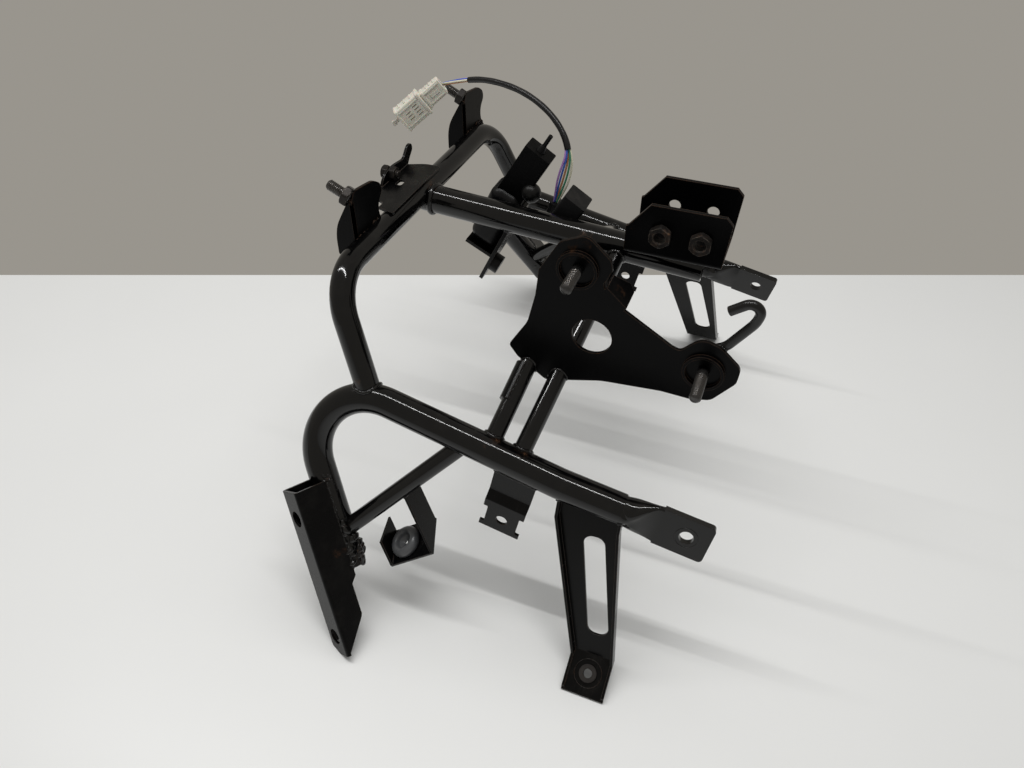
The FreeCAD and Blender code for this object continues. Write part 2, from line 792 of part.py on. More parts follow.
pocket(tab_body, tab_hole, "tab_hole_pocket")
tab = cut("tab", tab_body, lower_outer)
pair(tab, "clip_tab")

# Steering head bracket: a folded saddle on the spine with two bolt holes in each cheek

head_half = size("head_half_width")
head_wall = size("head_wall")
head_floor = size("head_floor_height")
head_top = head_floor + size("head_cheek_rise")
head_hole_height = head_floor + size("head_hole_rise")
head_bend = size("head_bend")
head_front = size("head_front")
head_rear = size("head_rear")
head_body = new_body("head_body", Placement(at(0, head_front, 0), Rotation()))
fold = sketch_on(head_body, "XZ_Plane", "head_fold")
fold.addGeometry(rounded([(-head_half, head_top, 0), (-head_half, head_floor, head_bend),
                          (head_half, head_floor, head_bend), (head_half, head_top, 0),
                          (head_half - head_wall, head_top, 0),
                          (head_half - head_wall, head_floor + head_wall, head_bend - head_wall),
                          (head_wall - head_half, head_floor + head_wall, head_bend - head_wall),
                          (head_wall - head_half, head_top, 0)]), False)
pad(head_body, fold, "head_pad", "sizes.head_rear - sizes.head_front", back=True)
head_long = head_rear - head_front
cheeks = sketch_on(head_body, "YZ_Plane", "head_cheeks")
cheeks.addGeometry(rounded([(-5, head_floor + 22, 0), (1, head_floor + 22, 2), (16, head_top, 3),
                            (16, head_top + 5, 0), (-5, head_top + 5, 0)]), False)
cheeks.addGeometry(rounded([(head_long - 5, head_top + 5, 0), (head_long - 5, head_top, 2),
                            (head_long, head_top - 5, 2), (head_long - 2.5, head_floor - 5, 0),
                            (head_long + 5, head_floor - 5, 0), (head_long + 5, head_top + 5, 0)]), False)
pocket(head_body, cheeks, "head_cheek_pocket")
eyes = sketch_on(head_body, "YZ_Plane", "head_eyes")
head_eye_backs = [size("head_hole_back") + shift * size("head_hole_pitch") for shift in (-0.5, 0.5)]
for back in head_eye_backs:
    add_circle(eyes, back - head_front, head_hole_height, "head_hole")
pocket(head_body, eyes, "head_eye_pocket")
head = cut("head", head_body, spine_outer)
finish(head, "head_bracket")
for back, stem in zip(head_eye_backs, ("front", "rear")):
    seat = Placement(at(head_half, back, head_hole_height), Rotation(Vector(0, 0, 1), Vector(1, 0, 0)))
    nut = hexagon("head_nut_%s_hexagon" % stem, "head_nut_width", "head_nut_height", seat)
    thread = doc.addObject("Part::Cylinder", "head_nut_%s_bore" % stem)
    thread.setExpression("Radius", "sizes.head_nut_bore / 2")
    thread.setExpression("Height", "sizes.head_nut_height")
    thread.Placement = seat
    finish(cut("head_nut_" + stem, nut, thread), "head_nut_" + stem)

# Instrument plate: one pressed plate with two cups, a lightening hole and a folded flange

upper_lobe = [
    (-26.2, -6.3, 6), (-13.0, 17.2, 8), (4.4, 25.3, 8), (20.9, 10.9, 4), (22.6, 3.7, 3), (17.9,
    -6.7, 2), (18.4, -11.2, 2),
]
rear_lobe = [
    (-22.8, 13.5, 4), (-17.4, 11.8, 4), (-5.1, 25.3, 10), (7.9, 21.3, 10), (22.7, 8.3, 8), (21.9,
    -3.7, 8), (8.5, -22.7, 8), (-4.1, -26.2, 10), (-25.3, -25.6, 20),
]
lower_edge = [
    (55.0, 3.7, 40), (14.3, -8.3, 6), (-7.7, 7.4, 3), (-14.4, 16.4, 4), (-0.7, 39.8, 30),
]
flange_end = (65.3, 67.4, 4)
front_waist = (4.7, 64.3, 20)
plate_share = (size("plate_side") - front_top.x) / (front_foot.x - front_top.x)
plate_root = front_top + (front_foot - front_top) * plate_share
root_back = plate_root.y - size("loop_front")
root_height = plate_root.z
cup_centres = [(root_back + size("plate_upper_back"), root_height + size("plate_upper_rise")),
               (root_back + size("plate_rear_back"), root_height + size("plate_rear_rise"))]


def placed(points, back, height):
    return [(back + x, height + y, radius) for x, y, radius in points]


upper_points = placed(upper_lobe, *cup_centres[0])
flange_points = [upper_points[-1]] + placed([flange_end], root_back, root_height)
plate_outline = (upper_points + flange_points[1:] + placed(rear_lobe, *cup_centres[1])
                 + placed(lower_edge + [front_waist], root_back, root_height))
plate_place = Placement(at(size("plate_side"), 0, 0), Rotation())
plate_body = new_body("plate_body", plate_place)
plate_sketch = sketch_on(plate_body, "YZ_Plane", "plate_outline")
plate_sketch.addGeometry(rounded(plate_outline), False)
add_circle(plate_sketch, root_back + size("plate_hole_back"), root_height + size("plate_hole_rise"), "plate_hole")
pad(plate_body, plate_sketch, "plate_pad", "sizes.plate_wall", back=True)
cups = sketch_on(plate_body, "YZ_Plane", "plate_cups")
for back, height in cup_centres:
    cups.addGeometry(Part.Circle(Vector(back, height, 0), Vector(0, 0, 1), size("plate_cup") / 2), False)
    cups.addGeometry(Part.Circle(Vector(back, height, 0), Vector(0, 0, 1),
                                 size("plate_cup") / 2 - size("plate_cup_wall")), False)
pad(plate_body, cups, "plate_cup_pad", "sizes.plate_cup_height")
flange_a, flange_b = [at(size("plate_side"), back, height) for back, height, radius in flange_points]
flange_along = (flange_b - flange_a).normalize()
flange_inward = Vector(-1, 0, 0).cross(flange_along)
plate_flange = feature("plate_flange", Part.Face(Part.makePolygon([
    flange_a, flange_b, flange_b - Vector(size("plate_flange") - 4, 0, 0),
    flange_b - Vector(size("plate_flange"), 0, 0) - flange_along * 5,
    flange_a - Vector(size("plate_flange") - 8, 0, 0), flange_a])).extrude(flange_inward * -size("plate_wall")))
plate = cut("plate", fuse("plate_folded", plate_body, plate_flange), front_bar, rear_bar)
finish(plate, "instrument_plate")

for stem, centre in (("upper", cup_centres[0]), ("rear", cup_centres[1])):
    base = at(size("plate_side"), centre[0], centre[1])
    stud = doc.addObject("Part::Cylinder", stem + "_stud")
    stud.setExpression("Radius", "sizes.stud_od / 2")
    stud.setExpression("Height", "sizes.%s_stud_length" % stem)
    stud.Placement = Placement(base, Rotation(Vector(0, 0, 1), Vector(1, 0, 0)))
    finish(stud, stem + "_stud")

# Saddle: half a sleeve that wraps the front strut beside the plate

strut_line = (front_foot - front_top).normalize()


saddle_end = plate_root + strut_line * size("saddle_length")
saddle_outer = rod("saddle_outer", plate_root, saddle_end, "strut_od")
saddle_outer.setExpression("Radius", "sizes.strut_od / 2 + sizes.saddle_wall")
saddle_box = doc.addObject("Part::Box", "saddle_box")
saddle_box.Length = 60
saddle_box.Width = 60
saddle_box.Height = 90
saddle_box.Placement = Placement(plate_root - strut_line * 20, Rotation(Vector(0, 0, 1), strut_line)) * Placement(
    Vector(-30, 1, 0), Rotation())
saddle = cut("saddle", saddle_outer, front_bar, saddle_box, plate)
finish(saddle, "strut_saddle")

# Hook rod behind the rear cup

hook_side = size("plate_side") - size("plate_wall") - size("hook_od") / 2
hook_bends = [(-19.1, 4.3, 0), (9.9, 19.3, 15), (24.4, 42.3, 22), (28.4, 63.3, 6), (7.4, 46.8, 0)]
hook_points = [at(hook_side, back, height) for back, height, radius in placed(hook_bends, *cup_centres[1])]
hook_path = route(hook_points, [radius for back, height, radius in hook_bends[1:-1]])
hook = swept("hook_rod", hook_path, hook_points[0], hook_points[1] - hook_points[0], "hook_od")
finish(hook, "hook_rod")

# Screen bracket: a face plate square to its stud and a web that goes back to the cross tube

screen_tilt = math.radians(size("screen_tilt"))
screen_axis = Vector(0, -math.cos(screen_tilt), math.sin(screen_tilt))
screen_up = Vector(0, math.sin(screen_tilt), math.cos(screen_tilt))
screen_seat = at(size("screen_stud_side"), size("screen_stud_back"), size("screen_stud_height"))
screen_place = frame_of(screen_seat, Vector(1, 0, 0), screen_up)
screen_wall = size("screen_wall")
screen_web = size("screen_web")
face_plate = sheet_plate("screen_face", [(-2.5, 12, 4), (8.5, 10, 6), (11.5, -12, 8), (8, -40, 3), (2, -46, 0),
                                         (-2.5, -46, 0)], "screen_wall", screen_place)
web_body = new_body("screen_web_body", screen_place)
web_profile = sketch_on(web_body, "YZ_Plane", "screen_web_outline", -2.5)
web_profile.addGeometry(rounded([(12, 0, 3), (18, -8, 6), (16, -screen_web + 5, 4), (2, -screen_web, 8),
                                 (-12, -screen_web + 8, 10), (-30, -screen_web + 6, 6), (-46, -screen_web + 12, 0),
                                 (-46, 0, 0)]), False)
pad(web_body, web_profile, "screen_web_pad", "sizes.screen_wall")
screen = cut("screen", fuse("screen_plates", face_plate, web_body), loop_outer)
pair(screen, "screen_bracket")
stud_start = screen_seat + screen_axis * screen_wall
stud_place = Placement(stud_start, Rotation(Vector(0, 0, 1), screen_axis))
screen_shank = doc.addObject("Part::Cylinder", "screen_shank")
screen_shank.setExpression("Radius", "sizes.stud_od / 2")
screen_shank.setExpression("Height", "sizes.screen_stud_length")
screen_shank.Placement = stud_place
screen_shoulder = doc.addObject("Part::Cylinder", "screen_shoulder")
screen_shoulder.setExpression("Radius", "sizes.screen_shoulder_od / 2")
screen_shoulder.setExpression("Height", "sizes.screen_nut_height")
screen_shoulder.Placement = stud_place
screen_stud = fuse("screen_stud", screen_shank, screen_shoulder)
pair(screen_stud, "screen_stud")
nut = hexagon("screen_nut_hexagon", "screen_nut_width", "screen_nut_height",
              Placement(stud_start, Rotation(Vector(0, 0, 1), screen_axis)))
pair(cut("screen_nut", nut, screen_stud), "screen_nut")

# Centre plate on the cross tube with its bolted upstand

centre = new_body("centre_body", Placement(at(0, 0, size("loop_top") + size("loop_od") / 2 - 1.5), Rotation()))
centre_sketch = sketch_on(centre, "XY_Plane", "centre_outline")
centre_sketch.addGeometry(rounded([(-24, 5, 3), (58, 5, 3), (50, -20, 6), (20, -24, 4), (-4, -24, 3),
                                   (-24, -8, 5)]), False)
centre_sketch.addGeometry(rounded([(42, -7, 2.5), (52, -4, 2.5), (48, -13, 3), (42, -14, 3)]), False)
pad(centre, centre_sketch, "centre_pad", "sizes.centre_wall")
upstand = new_body("upstand_body", Placement(at(0, -24, size("loop_top") + size("loop_od") / 2 - 1.5), Rotation()))
upstand_sketch = sketch_on(upstand, "XZ_Plane", "upstand_outline")
upstand_sketch.addGeometry(rounded([(-4, 0, 0), (20, 0, 0), (19, 16, 4), (4, 22, 4), (-4, 14, 4)]), False)
pad(upstand, upstand_sketch, "upstand_pad", "sizes.centre_wall", back=True)
centre_plate = cut("centre_plate", fuse("centre_folded", centre, upstand), loop_outer, spine_outer)
finish(centre_plate, "centre_plate")
bolt_place = Placement(at(9, -24, loop_top + size("loop_od") / 2 + 9), Rotation(Vector(0, 0, 1), Vector(0, -1, 0)))
bolt = hexagon("centre_bolt_hexagon", "centre_bolt_head", "centre_bolt_od", bolt_place)
finish(bolt, "centre_bolt")

# Actuator beside the spine, on a strip welded under it

actuator_tilt = math.radians(size("actuator_tilt"))
actuator_up = Vector(0, math.sin(actuator_tilt), math.cos(actuator_tilt))
actuator_rearward = Vector(0, math.cos(actuator_tilt), -math.sin(actuator_tilt))
actuator_base = at(-size("actuator_side"), size("actuator_back"), size("actuator_height"))
actuator_place = frame_of(actuator_base, Vector(-1, 0, 0), actuator_rearward * -1)


def block(name, length, width, height, place, shift, fillet, along=None):
    """Rounded block in a local frame: fillets on every edge, or only on those along one of its axes."""
    box = doc.addObject("Part::Box", name + "_blank")
    bind(box, Length="sizes." + length, Width="sizes." + width, Height="sizes." + height)
    box.Placement = place * Placement(shift, Rotation())
    doc.recompute()
    smooth = doc.addObject("Part::Fillet", name)
    smooth.Base = box
    axis = place.Rotation.multVec(along) if along else None
    smooth.Edges = [(n + 1, fillet, fillet) for n, edge in enumerate(box.Shape.Edges)
                    if axis is None or edge.tangentAt(edge.FirstParameter).cross(axis).Length < 0.01]
    return smooth


half_width = size("actuator_width") / 2
actuator_body = block("actuator_body", "actuator_depth", "actuator_width", "actuator_length", actuator_place,
                      Vector(0, -half_width, 0), 9.0)
finish(actuator_body, "actuator_body")

strip_seat = half_width + size("strip_wall")
strip_place = frame_of(actuator_base + actuator_rearward * strip_seat, Vector(1, 0, 0), actuator_up)
strip_left = size("actuator_side") + size("strip_near")
strip = sheet_plate("strip", [(-size("actuator_depth") + 4, 8, 4), (-12, -6, 4), (strip_left - 12, -size("strip_tail"), 3),
                              (strip_left - 3, -size("strip_tail"), 3), (strip_left, 8, 5), (strip_left, 50, 0),
                              (-size("actuator_depth") + 4, 50, 0)], "strip_wall", strip_place)
strip_top = doc.addObject("Part::Box", "strip_top")
strip_top.Length = 90
strip_top.Width = 80
strip_top.Height = 60
strip_top.Placement = Placement(on_spine(size("actuator_back") + 10) + Vector(-size("actuator_side") + 2, -40, -6),
                                Rotation())
finish(cut("actuator_strip", strip, spine_outer, strip_top), "actuator_strip")

flange = doc.addObject("Part::Box", "actuator_flange_plate")
bind(flange, Length="sizes.flange_width", Width="sizes.actuator_width - sizes.flange_setback",
     Height="sizes.flange_wall")
flange.Placement = actuator_place * Placement(Vector(-3, -half_width, -size("flange_wall")), Rotation())
finish(cut("actuator_foot", flange, actuator_body), "actuator_flange")
bush_start = actuator_base + actuator_rearward * strip_seat + Vector(size("bush_side"), 0, 0)
bush = rod("bush", bush_start, bush_start + actuator_rearward * size("bush_length"), "bush_od")
finish(bush, "actuator_bush")

socket_tilt = math.radians(size("socket_tilt"))
socket_up = Vector(0, math.sin(socket_tilt), math.cos(socket_tilt))
socket_rearward = Vector(0, math.cos(socket_tilt), -math.sin(socket_tilt))
socket_base = at(-size("socket_side"), size("socket_back"), size("socket_height"))
socket_place = frame_of(socket_base, Vector(-1, 0, 0), socket_rearward * -1)
socket_half = size("socket_width") / 2
socket = block("socket", "socket_depth", "socket_width", "socket_length", socket_place,
               Vector(0, -socket_half, 0), 1.2, Vector(0, 0, 1))
finish(cut("socket_block", socket, actuator_body), "socket_block")
socket_top = size("socket_length")
lever = doc.addObject("Part::Cone", "lever_boss")
lever.Radius1 = 4
lever.Radius2 = 2
lever.Height = 5
middle = size("socket_depth") / 2
lever.Placement = socket_place * Placement(Vector(middle, 0, socket_top), Rotation())
stalk = doc.addObject("Part::Cylinder", "lever_stalk")
stalk.setExpression("Radius", "sizes.stalk_od / 2")
stalk.setExpression("Height", "sizes.stalk_length")
stalk.Placement = socket_place * Placement(Vector(middle, 0, socket_top), Rotation())
finish(fuse("socket_stalk", lever, stalk), "socket_stalk")
boot = doc.addObject("Part::Sphere", "boot")
boot.setExpression("Radius", "sizes.boot_od / 2")
boot.Placement = Placement(at(-size("boot_side"), size("boot_back"), size("boot_height")), Rotation())
finish(cut("boot_trim", boot, socket, actuator_body, spine_outer), "socket_boot")

# Sensor on the far side of the spine, with the lug that its wires leave

sensor_base = at(-size("sensor_side"), size("sensor_back"), size("sensor_height"))
sensor_place = frame_of(sensor_base, Vector(-1, 0, 0), socket_rearward * -1)
sensor_half = size("sensor_width") / 2
sensor = block("sensor", "sensor_depth", "sensor_width", "sensor_length", sensor_place,
               Vector(0, -sensor_half, 0), 1.5, Vector(0, 0, 1))
finish(cut("sensor_trim", sensor, spine_outer), "sensor_box")

# Lead: it arches up from the sensor and over to its connector

lead_points = [
    at(-26.0, 104.0, 247.0),
    at(-27.3, 110.0, 268.0),
    at(-31.0, 112.5, 290.0),
    at(-41.5, 97.0, 308.0),
    at(-55.0, 69.5, 318.0),
    at(-68.0, 38.0, 319.0),
    at(-76.5, 9.5, 314.5),
    at(-80.0, -17.0, 305.0),
]


def tube_radii(points):
    """Largest tangent arcs that the runs beside each point leave room for."""
    radii = []
    for before, here, after in zip(points, points[1:], points[2:]):
        shorter = min((here - before).Length, (after - here).Length)
        turn = math.pi - (before - here).getAngle(after - here)
        radii.append(0.45 * shorter / math.tan(turn / 2))
    return radii


lug_run = (lead_points[1] - lead_points[0]).normalize()
lug = rod("lug", lead_points[0] - lug_run * size("lug_length"), lead_points[0], "lug_od")
finish(cut("lug_trim", lug, sensor, spine_outer), "sensor_lug")

lead_radii = tube_radii(lead_points)
print("lead radii", [round(r, 1) for r in lead_radii])
lead_path = route(lead_points, lead_radii)
lead = swept("lead", lead_path, lead_points[0], lead_points[1] - lead_points[0], "lead_od")
finish(lead, "lead_tube")

# Connector at the end of the lead: a narrow wire side, a wide mouth side and its latch

lead_end = lead_points[-1]
connector_run = Vector(0.45, -0.66, -0.60)
connector_across = Vector(-0.30, 0.52, -0.80)
connector_place = frame_of(lead_end, connector_run, connector_across)
connector_rear = block("connector_shell", "connector_length", "connector_width", "connector_depth",
                       connector_place, Vector(0, -size("connector_width") / 2, -size("connector_depth") / 2),
                       1.0, Vector(1, 0, 0))
finish(cut("connector_entry", connector_rear, lead), "connector_rear")
connector_front = block("connector_front", "plug_length", "plug_width", "plug_depth", connector_place,
                        Vector(size("connector_length"), -size("plug_width") / 2, -size("plug_depth") / 2),
                        1.0, Vector(1, 0, 0))
finish(connector_front, "connector_front")
latch = doc.addObject("Part::Box", "latch")
bind(latch, Length="sizes.latch_length", Width="sizes.latch_width", Height="sizes.latch_wall")
latch.Placement = connector_place * Placement(
    Vector(size("connector_length") + size("plug_length"), -size("latch_width") / 2, -1), Rotation())
finish(latch, "connector_latch")

bad = []


def main():
    os.makedirs("parts", exist_ok=True)
    doc.recompute()
    for thing in doc.Objects:
        if "Invalid" in thing.State or "Error" in thing.State:
            bad.append(thing.Name)
    for thing in finished:
        if thing.Shape.isNull() or not thing.Shape.isValid():
            bad.append(thing.Label)
    if bad:
        raise RuntimeError("failed: " + ", ".join(bad))
    for thing in finished:
        thing.Shape.exportStep("parts/%s.step" % thing.Label)
        box = thing.Shape.BoundBox
        print("%-22s solids %d  volume %9.1f  x %7.1f %7.1f  y %7.1f %7.1f  z %6.1f %6.1f" % (
            thing.Label, len(thing.Shape.Solids), thing.Shape.Volume, box.XMin, box.XMax, box.YMin, box.YMax,
            box.ZMin, box.ZMax))


main()
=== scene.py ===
import math
import random

import bmesh
import bpy
from mathutils import Matrix, Vector
from mathutils.bvhtree import BVHTree
from mathutils.geometry import tessellate_polygon


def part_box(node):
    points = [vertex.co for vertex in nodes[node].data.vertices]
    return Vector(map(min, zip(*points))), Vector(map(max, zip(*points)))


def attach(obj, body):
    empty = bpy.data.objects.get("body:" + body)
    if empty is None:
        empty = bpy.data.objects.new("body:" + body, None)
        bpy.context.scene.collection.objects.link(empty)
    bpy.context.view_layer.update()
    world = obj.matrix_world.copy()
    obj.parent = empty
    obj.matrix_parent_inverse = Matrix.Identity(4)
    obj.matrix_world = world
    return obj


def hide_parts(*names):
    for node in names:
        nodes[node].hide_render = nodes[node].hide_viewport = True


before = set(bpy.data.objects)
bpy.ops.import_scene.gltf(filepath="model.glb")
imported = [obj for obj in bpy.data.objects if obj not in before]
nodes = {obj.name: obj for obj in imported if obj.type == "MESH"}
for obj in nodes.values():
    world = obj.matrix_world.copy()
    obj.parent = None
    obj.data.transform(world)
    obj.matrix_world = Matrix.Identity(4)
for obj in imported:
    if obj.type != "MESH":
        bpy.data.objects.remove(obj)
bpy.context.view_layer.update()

MM = 0.001
LOOP_FRONT = -127.4
SIDES = (("left", 1), ("right", -1))


def at(side, back, height):
    """A place in metres from millimetres, with back measured rearwards from the front cross tube."""
    return Vector((side, LOOP_FRONT + back, height)) * MM


# Camera

CAMERA_PLACE = Vector((0.4989, 0.1467, 0.5461))
CAMERA_PITCH = math.radians(48.20)
CAMERA_TURN = math.radians(111.54)
PHOTO_WIDTH = 1024
FOCAL_PIXELS = 768.4
SENSOR = 36.0

camera_data = bpy.data.cameras.new("camera")
camera_data.sensor_width = SENSOR
camera_data.lens = FOCAL_PIXELS / PHOTO_WIDTH * SENSOR
camera_data.clip_start = 0.01
camera = bpy.data.objects.new("camera", camera_data)
camera.location = CAMERA_PLACE
camera.rotation_euler = (CAMERA_PITCH, 0, CAMERA_TURN)
bpy.context.scene.collection.objects.link(camera)
bpy.context.scene.camera = camera
bpy.context.scene.view_settings.view_transform = "Standard"


# Shader maths

class Wire:
    """A socket that Python's operators work on: an expression adds the Math nodes."""

    def __init__(self, finish, socket):
        self.finish = finish
        self.socket = socket

    def _math(self, operation, *values):
        return self.finish.node("ShaderNodeMath", {"operation": operation}, values)

    def __add__(self, other):
        return self._math("ADD", self, other)

    def __radd__(self, other):
        return self._math("ADD", other, self)

    def __sub__(self, other):
        return self._math("SUBTRACT", self, other)

    def __rsub__(self, other):
        return self._math("SUBTRACT", other, self)

    def __mul__(self, other):
        return self._math("MULTIPLY", self, other)

    def __rmul__(self, other):
        return self._math("MULTIPLY", other, self)

    def larger(self, other):
        return self._math("MAXIMUM", self, other)

    def clamp(self):
        return self.finish.node("ShaderNodeClamp", {}, (self, 0.0, 1.0))

    def step(self, low, high):
        """0 below low, 1 above high and a smooth ramp between."""
        settings = {"interpolation_type": "SMOOTHSTEP"}
        return self.finish.node("ShaderNodeMapRange", settings, (self, low, high, 0.0, 1.0))


MIX_SHARE, MIX_FIRST, MIX_SECOND, MIX_RESULT = 0, 6, 7, 2
BEVEL_SAMPLES = 6
EDGE_SHARPNESS = 6.0
SPOT_CORE = 0.35


class Finish:
    """One material, made of nodes."""

    def __init__(self, name):
        self.material = bpy.data.materials.new(name)
        self.material.use_nodes = True
        self.tree = self.material.node_tree
        self.shader = self.tree.nodes["Principled BSDF"]
        self.place = self.node("ShaderNodeTexCoord", {}, (), "Object")

    def node(self, kind, settings, values, output=0):
        """Adds a node: its settings come first, then its sockets in order or by name."""
        made = self.tree.nodes.new(kind)
        for key, value in settings.items():
            setattr(made, key, value)
        pairs = values.items() if isinstance(values, dict) else enumerate(values)
        for key, value in pairs:
            if isinstance(value, Wire):
                self.tree.links.new(value.socket, made.inputs[key])
            elif value is not None:
                made.inputs[key].default_value = value
        return Wire(self, made.outputs[output])

    def noise(self, scale, detail=4.0, roughness=0.55, place=None):
        values = {"Vector": place or self.place, "Scale": scale, "Detail": detail, "Roughness": roughness}
        return self.node("ShaderNodeTexNoise", {}, values, "Fac")

    def cells(self, scale):
        values = {"Vector": self.place, "Scale": scale}
        return self.node("ShaderNodeTexVoronoi", {"feature": "F1"}, values, "Distance")

    def mix(self, share, first, second):
        """Colour mix: first where share is 0, second where it is 1."""
        values = {MIX_SHARE: share, MIX_FIRST: rgba(first), MIX_SECOND: rgba(second)}
        return self.node("ShaderNodeMix", {"data_type": "RGBA"}, values, MIX_RESULT)

    def stretched(self, x, y, z):
        return self.node("ShaderNodeVectorMath", {"operation": "MULTIPLY"}, (self.place, (x, y, z)))

    def normal(self):
        return self.node("ShaderNodeNewGeometry", {}, (), "Normal")

    def rounded(self, radius):
        """The normal as it would be over edges with the given radius."""
        return self.node("ShaderNodeBevel", {"samples": BEVEL_SAMPLES}, {"Radius": radius})

    def facing_up(self):
        return self.node("ShaderNodeSeparateXYZ", {}, (self.normal(),), "Z")

    def edges(self, radius):
        """Close to 1 along edges, where the rounded normal leaves the true one."""
        normals = (self.rounded(radius), self.normal())
        agreement = self.node("ShaderNodeVectorMath", {"operation": "DOT_PRODUCT"}, normals, "Value")
        return ((1 - agreement) * EDGE_SHARPNESS).clamp()

    def near(self, places):
        """Close to 1 at the given places, each a point and a radius in metres."""
        total = None
        for point, radius in places:
            ends = (self.place, tuple(point))
            away = self.node("ShaderNodeVectorMath", {"operation": "DISTANCE"}, ends, "Value")
            spot = 1 - away.step(radius * SPOT_CORE, radius)
            total = spot if total is None else total.larger(spot)
        return total

    def set(self, **values):
        for key, value in values.items():
            socket = self.shader.inputs[key.replace("_", " ")]
            if isinstance(value, Wire):
                self.tree.links.new(value.socket, socket)
            else:
                socket.default_value = rgba(value)

    def bump(self, height, distance, strength=1.0, rounding=0.0):
        """Feeds Normal from a height, over edges that look rounded by the given radius."""
        values = {"Strength": strength, "Distance": distance, "Height": height}
        if rounding:
            values["Normal"] = self.rounded(rounding)
        self.set(Normal=self.node("ShaderNodeBump", {}, values))


def rgba(value):
    """Gives a colour its alpha and leaves any other value as it is."""
    if isinstance(value, tuple) and len(value) == 3:
        return (*value, 1.0)
    return value


# Finishes

BLACK = (0.0010, 0.0010, 0.0012)
WORN_BLACK = (0.0042, 0.0040, 0.0038)
DUST = (0.15, 0.135, 0.115)
BROWN_RUST = (0.045, 0.021, 0.010)
ORANGE_RUST = (0.20, 0.085, 0.028)
BARE_STEEL = (0.24, 0.225, 0.21)
OLD_GREASE = (0.016, 0.014, 0.013)
# Pale steel for the corners of nuts and studs: partly rubbed wear, partly a painted highlight.
RUBBED_CORNER_AND_HIGHLIGHT = (0.30, 0.25, 0.20)
SURFACE_DEPTH = 0.10 * MM


def enamel(name, gloss=0.22, wear=0.35, rust=0.0, dust=0.5, rust_places=(), shine=0.5):
    """Black enamel over steel, with fine scratches, dust on top, chipped edges and rust."""
    paint = Finish(name)
    broad = paint.noise(28, 5)
    fine = paint.noise(420, 6, 0.65)
    streaks = paint.noise(90, 3, 0.6, paint.stretched(1.0, 7.0, 1.0))
    blotches = paint.noise(130, 8, 0.72)
    edge = paint.edges(1.1 * MM)
    ragged = (edge * 1.2 + paint.noise(240, 5, 0.7) * 1.1 - 1.15 + wear * 0.45).step(0.28, 0.55)
    upward = (paint.facing_up() - 0.2).clamp()
    dusty = (upward * paint.noise(60, 6, 0.7).step(0.45, 0.8) * dust * 0.2).clamp()
    specks = (1 - paint.cells(900)).step(0.88, 0.94) * paint.noise(75, 3).step(0.5, 0.68) * dust

    colour = paint.mix((streaks * broad).step(0.22, 0.55) * 0.55, BLACK, WORN_BLACK)
    colour = paint.mix((dusty + specks * 0.35).clamp(), colour, DUST)
    colour = paint.mix(ragged * wear * 0.7, colour, BARE_STEEL)
    roughness = gloss + fine * 0.03 + broad * 0.04 + dusty * 0.9 + ragged * 0.15
    roughness = roughness + streaks.step(0.55, 0.75) * 0.05
    metallic = ragged * wear
    height = fine * 0.25 + broad * 0.3

    rusty = None
    if rust:
        rusty = (edge * 0.8 + blotches * 1.5 + broad * 0.6 - 1.75 + rust).step(0.15, 0.5)
    if rust_places:
        spots = (paint.near(rust_places) * 0.9 + blotches * 1.6 - 1.55).step(0.1, 0.5)
        rusty = spots if rusty is None else rusty.larger(spots)
    if rusty is not None:
        tint = paint.mix(paint.noise(300, 5, 0.7).step(0.52, 0.78), BROWN_RUST, ORANGE_RUST)
        colour = paint.mix(rusty * 0.7, colour, tint)
        roughness = roughness + rusty * 0.4
        height = height + rusty * paint.noise(700, 4, 0.7) * 0.9
        metallic = metallic * (1 - rusty)
    paint.set(Base_Color=colour, Roughness=roughness.clamp(), Metallic=metallic.clamp(),
              Specular_IOR_Level=shine)
    paint.bump(height, SURFACE_DEPTH, 0.6, 0.7 * MM)
    return paint.material


def bare_steel(name, base, rust, roughness=0.38, grime=0.5, corners=0.0):
    """Plated or bare steel, tarnished, with rust that starts in the hollows."""
    steel = Finish(name)
    blotches = steel.noise(160, 7, 0.7)
    broad = steel.noise(45, 4)
    rusty = (blotches * 1.3 + broad * 0.7 - 1.25 + rust).step(0.1, 0.5)
    dirty = (steel.noise(90, 6, 0.68) * 1.2 - 0.65 + grime * 0.6).step(0.15, 0.6)
    tint = steel.mix(steel.noise(420, 4, 0.7).step(0.5, 0.75), BROWN_RUST, ORANGE_RUST)
    colour = steel.mix(dirty * 0.8, base, OLD_GREASE)
    colour = steel.mix(rusty * 0.85, colour, tint)
    # corners: lightens the edges towards a pale steel, partly rubbed wear and partly a painted highlight on
    # the corners.
    if corners:
        corner_wear_and_highlight = (steel.edges(0.7 * MM) * 1.3 + blotches - 0.75).step(0.1, 0.5)
        colour = steel.mix(corner_wear_and_highlight * corners, colour, RUBBED_CORNER_AND_HIGHLIGHT)
    steel.set(Base_Color=colour, Metallic=(0.95 - rusty * 0.8 - dirty * 0.35).clamp(),
              Roughness=(roughness + rusty * 0.4 + dirty * 0.2 + blotches * 0.1).clamp())
    steel.bump(blotches * 0.6 + rusty * steel.noise(800, 3) * 0.8, SURFACE_DEPTH, 0.7, 0.4 * MM)
    return steel.material


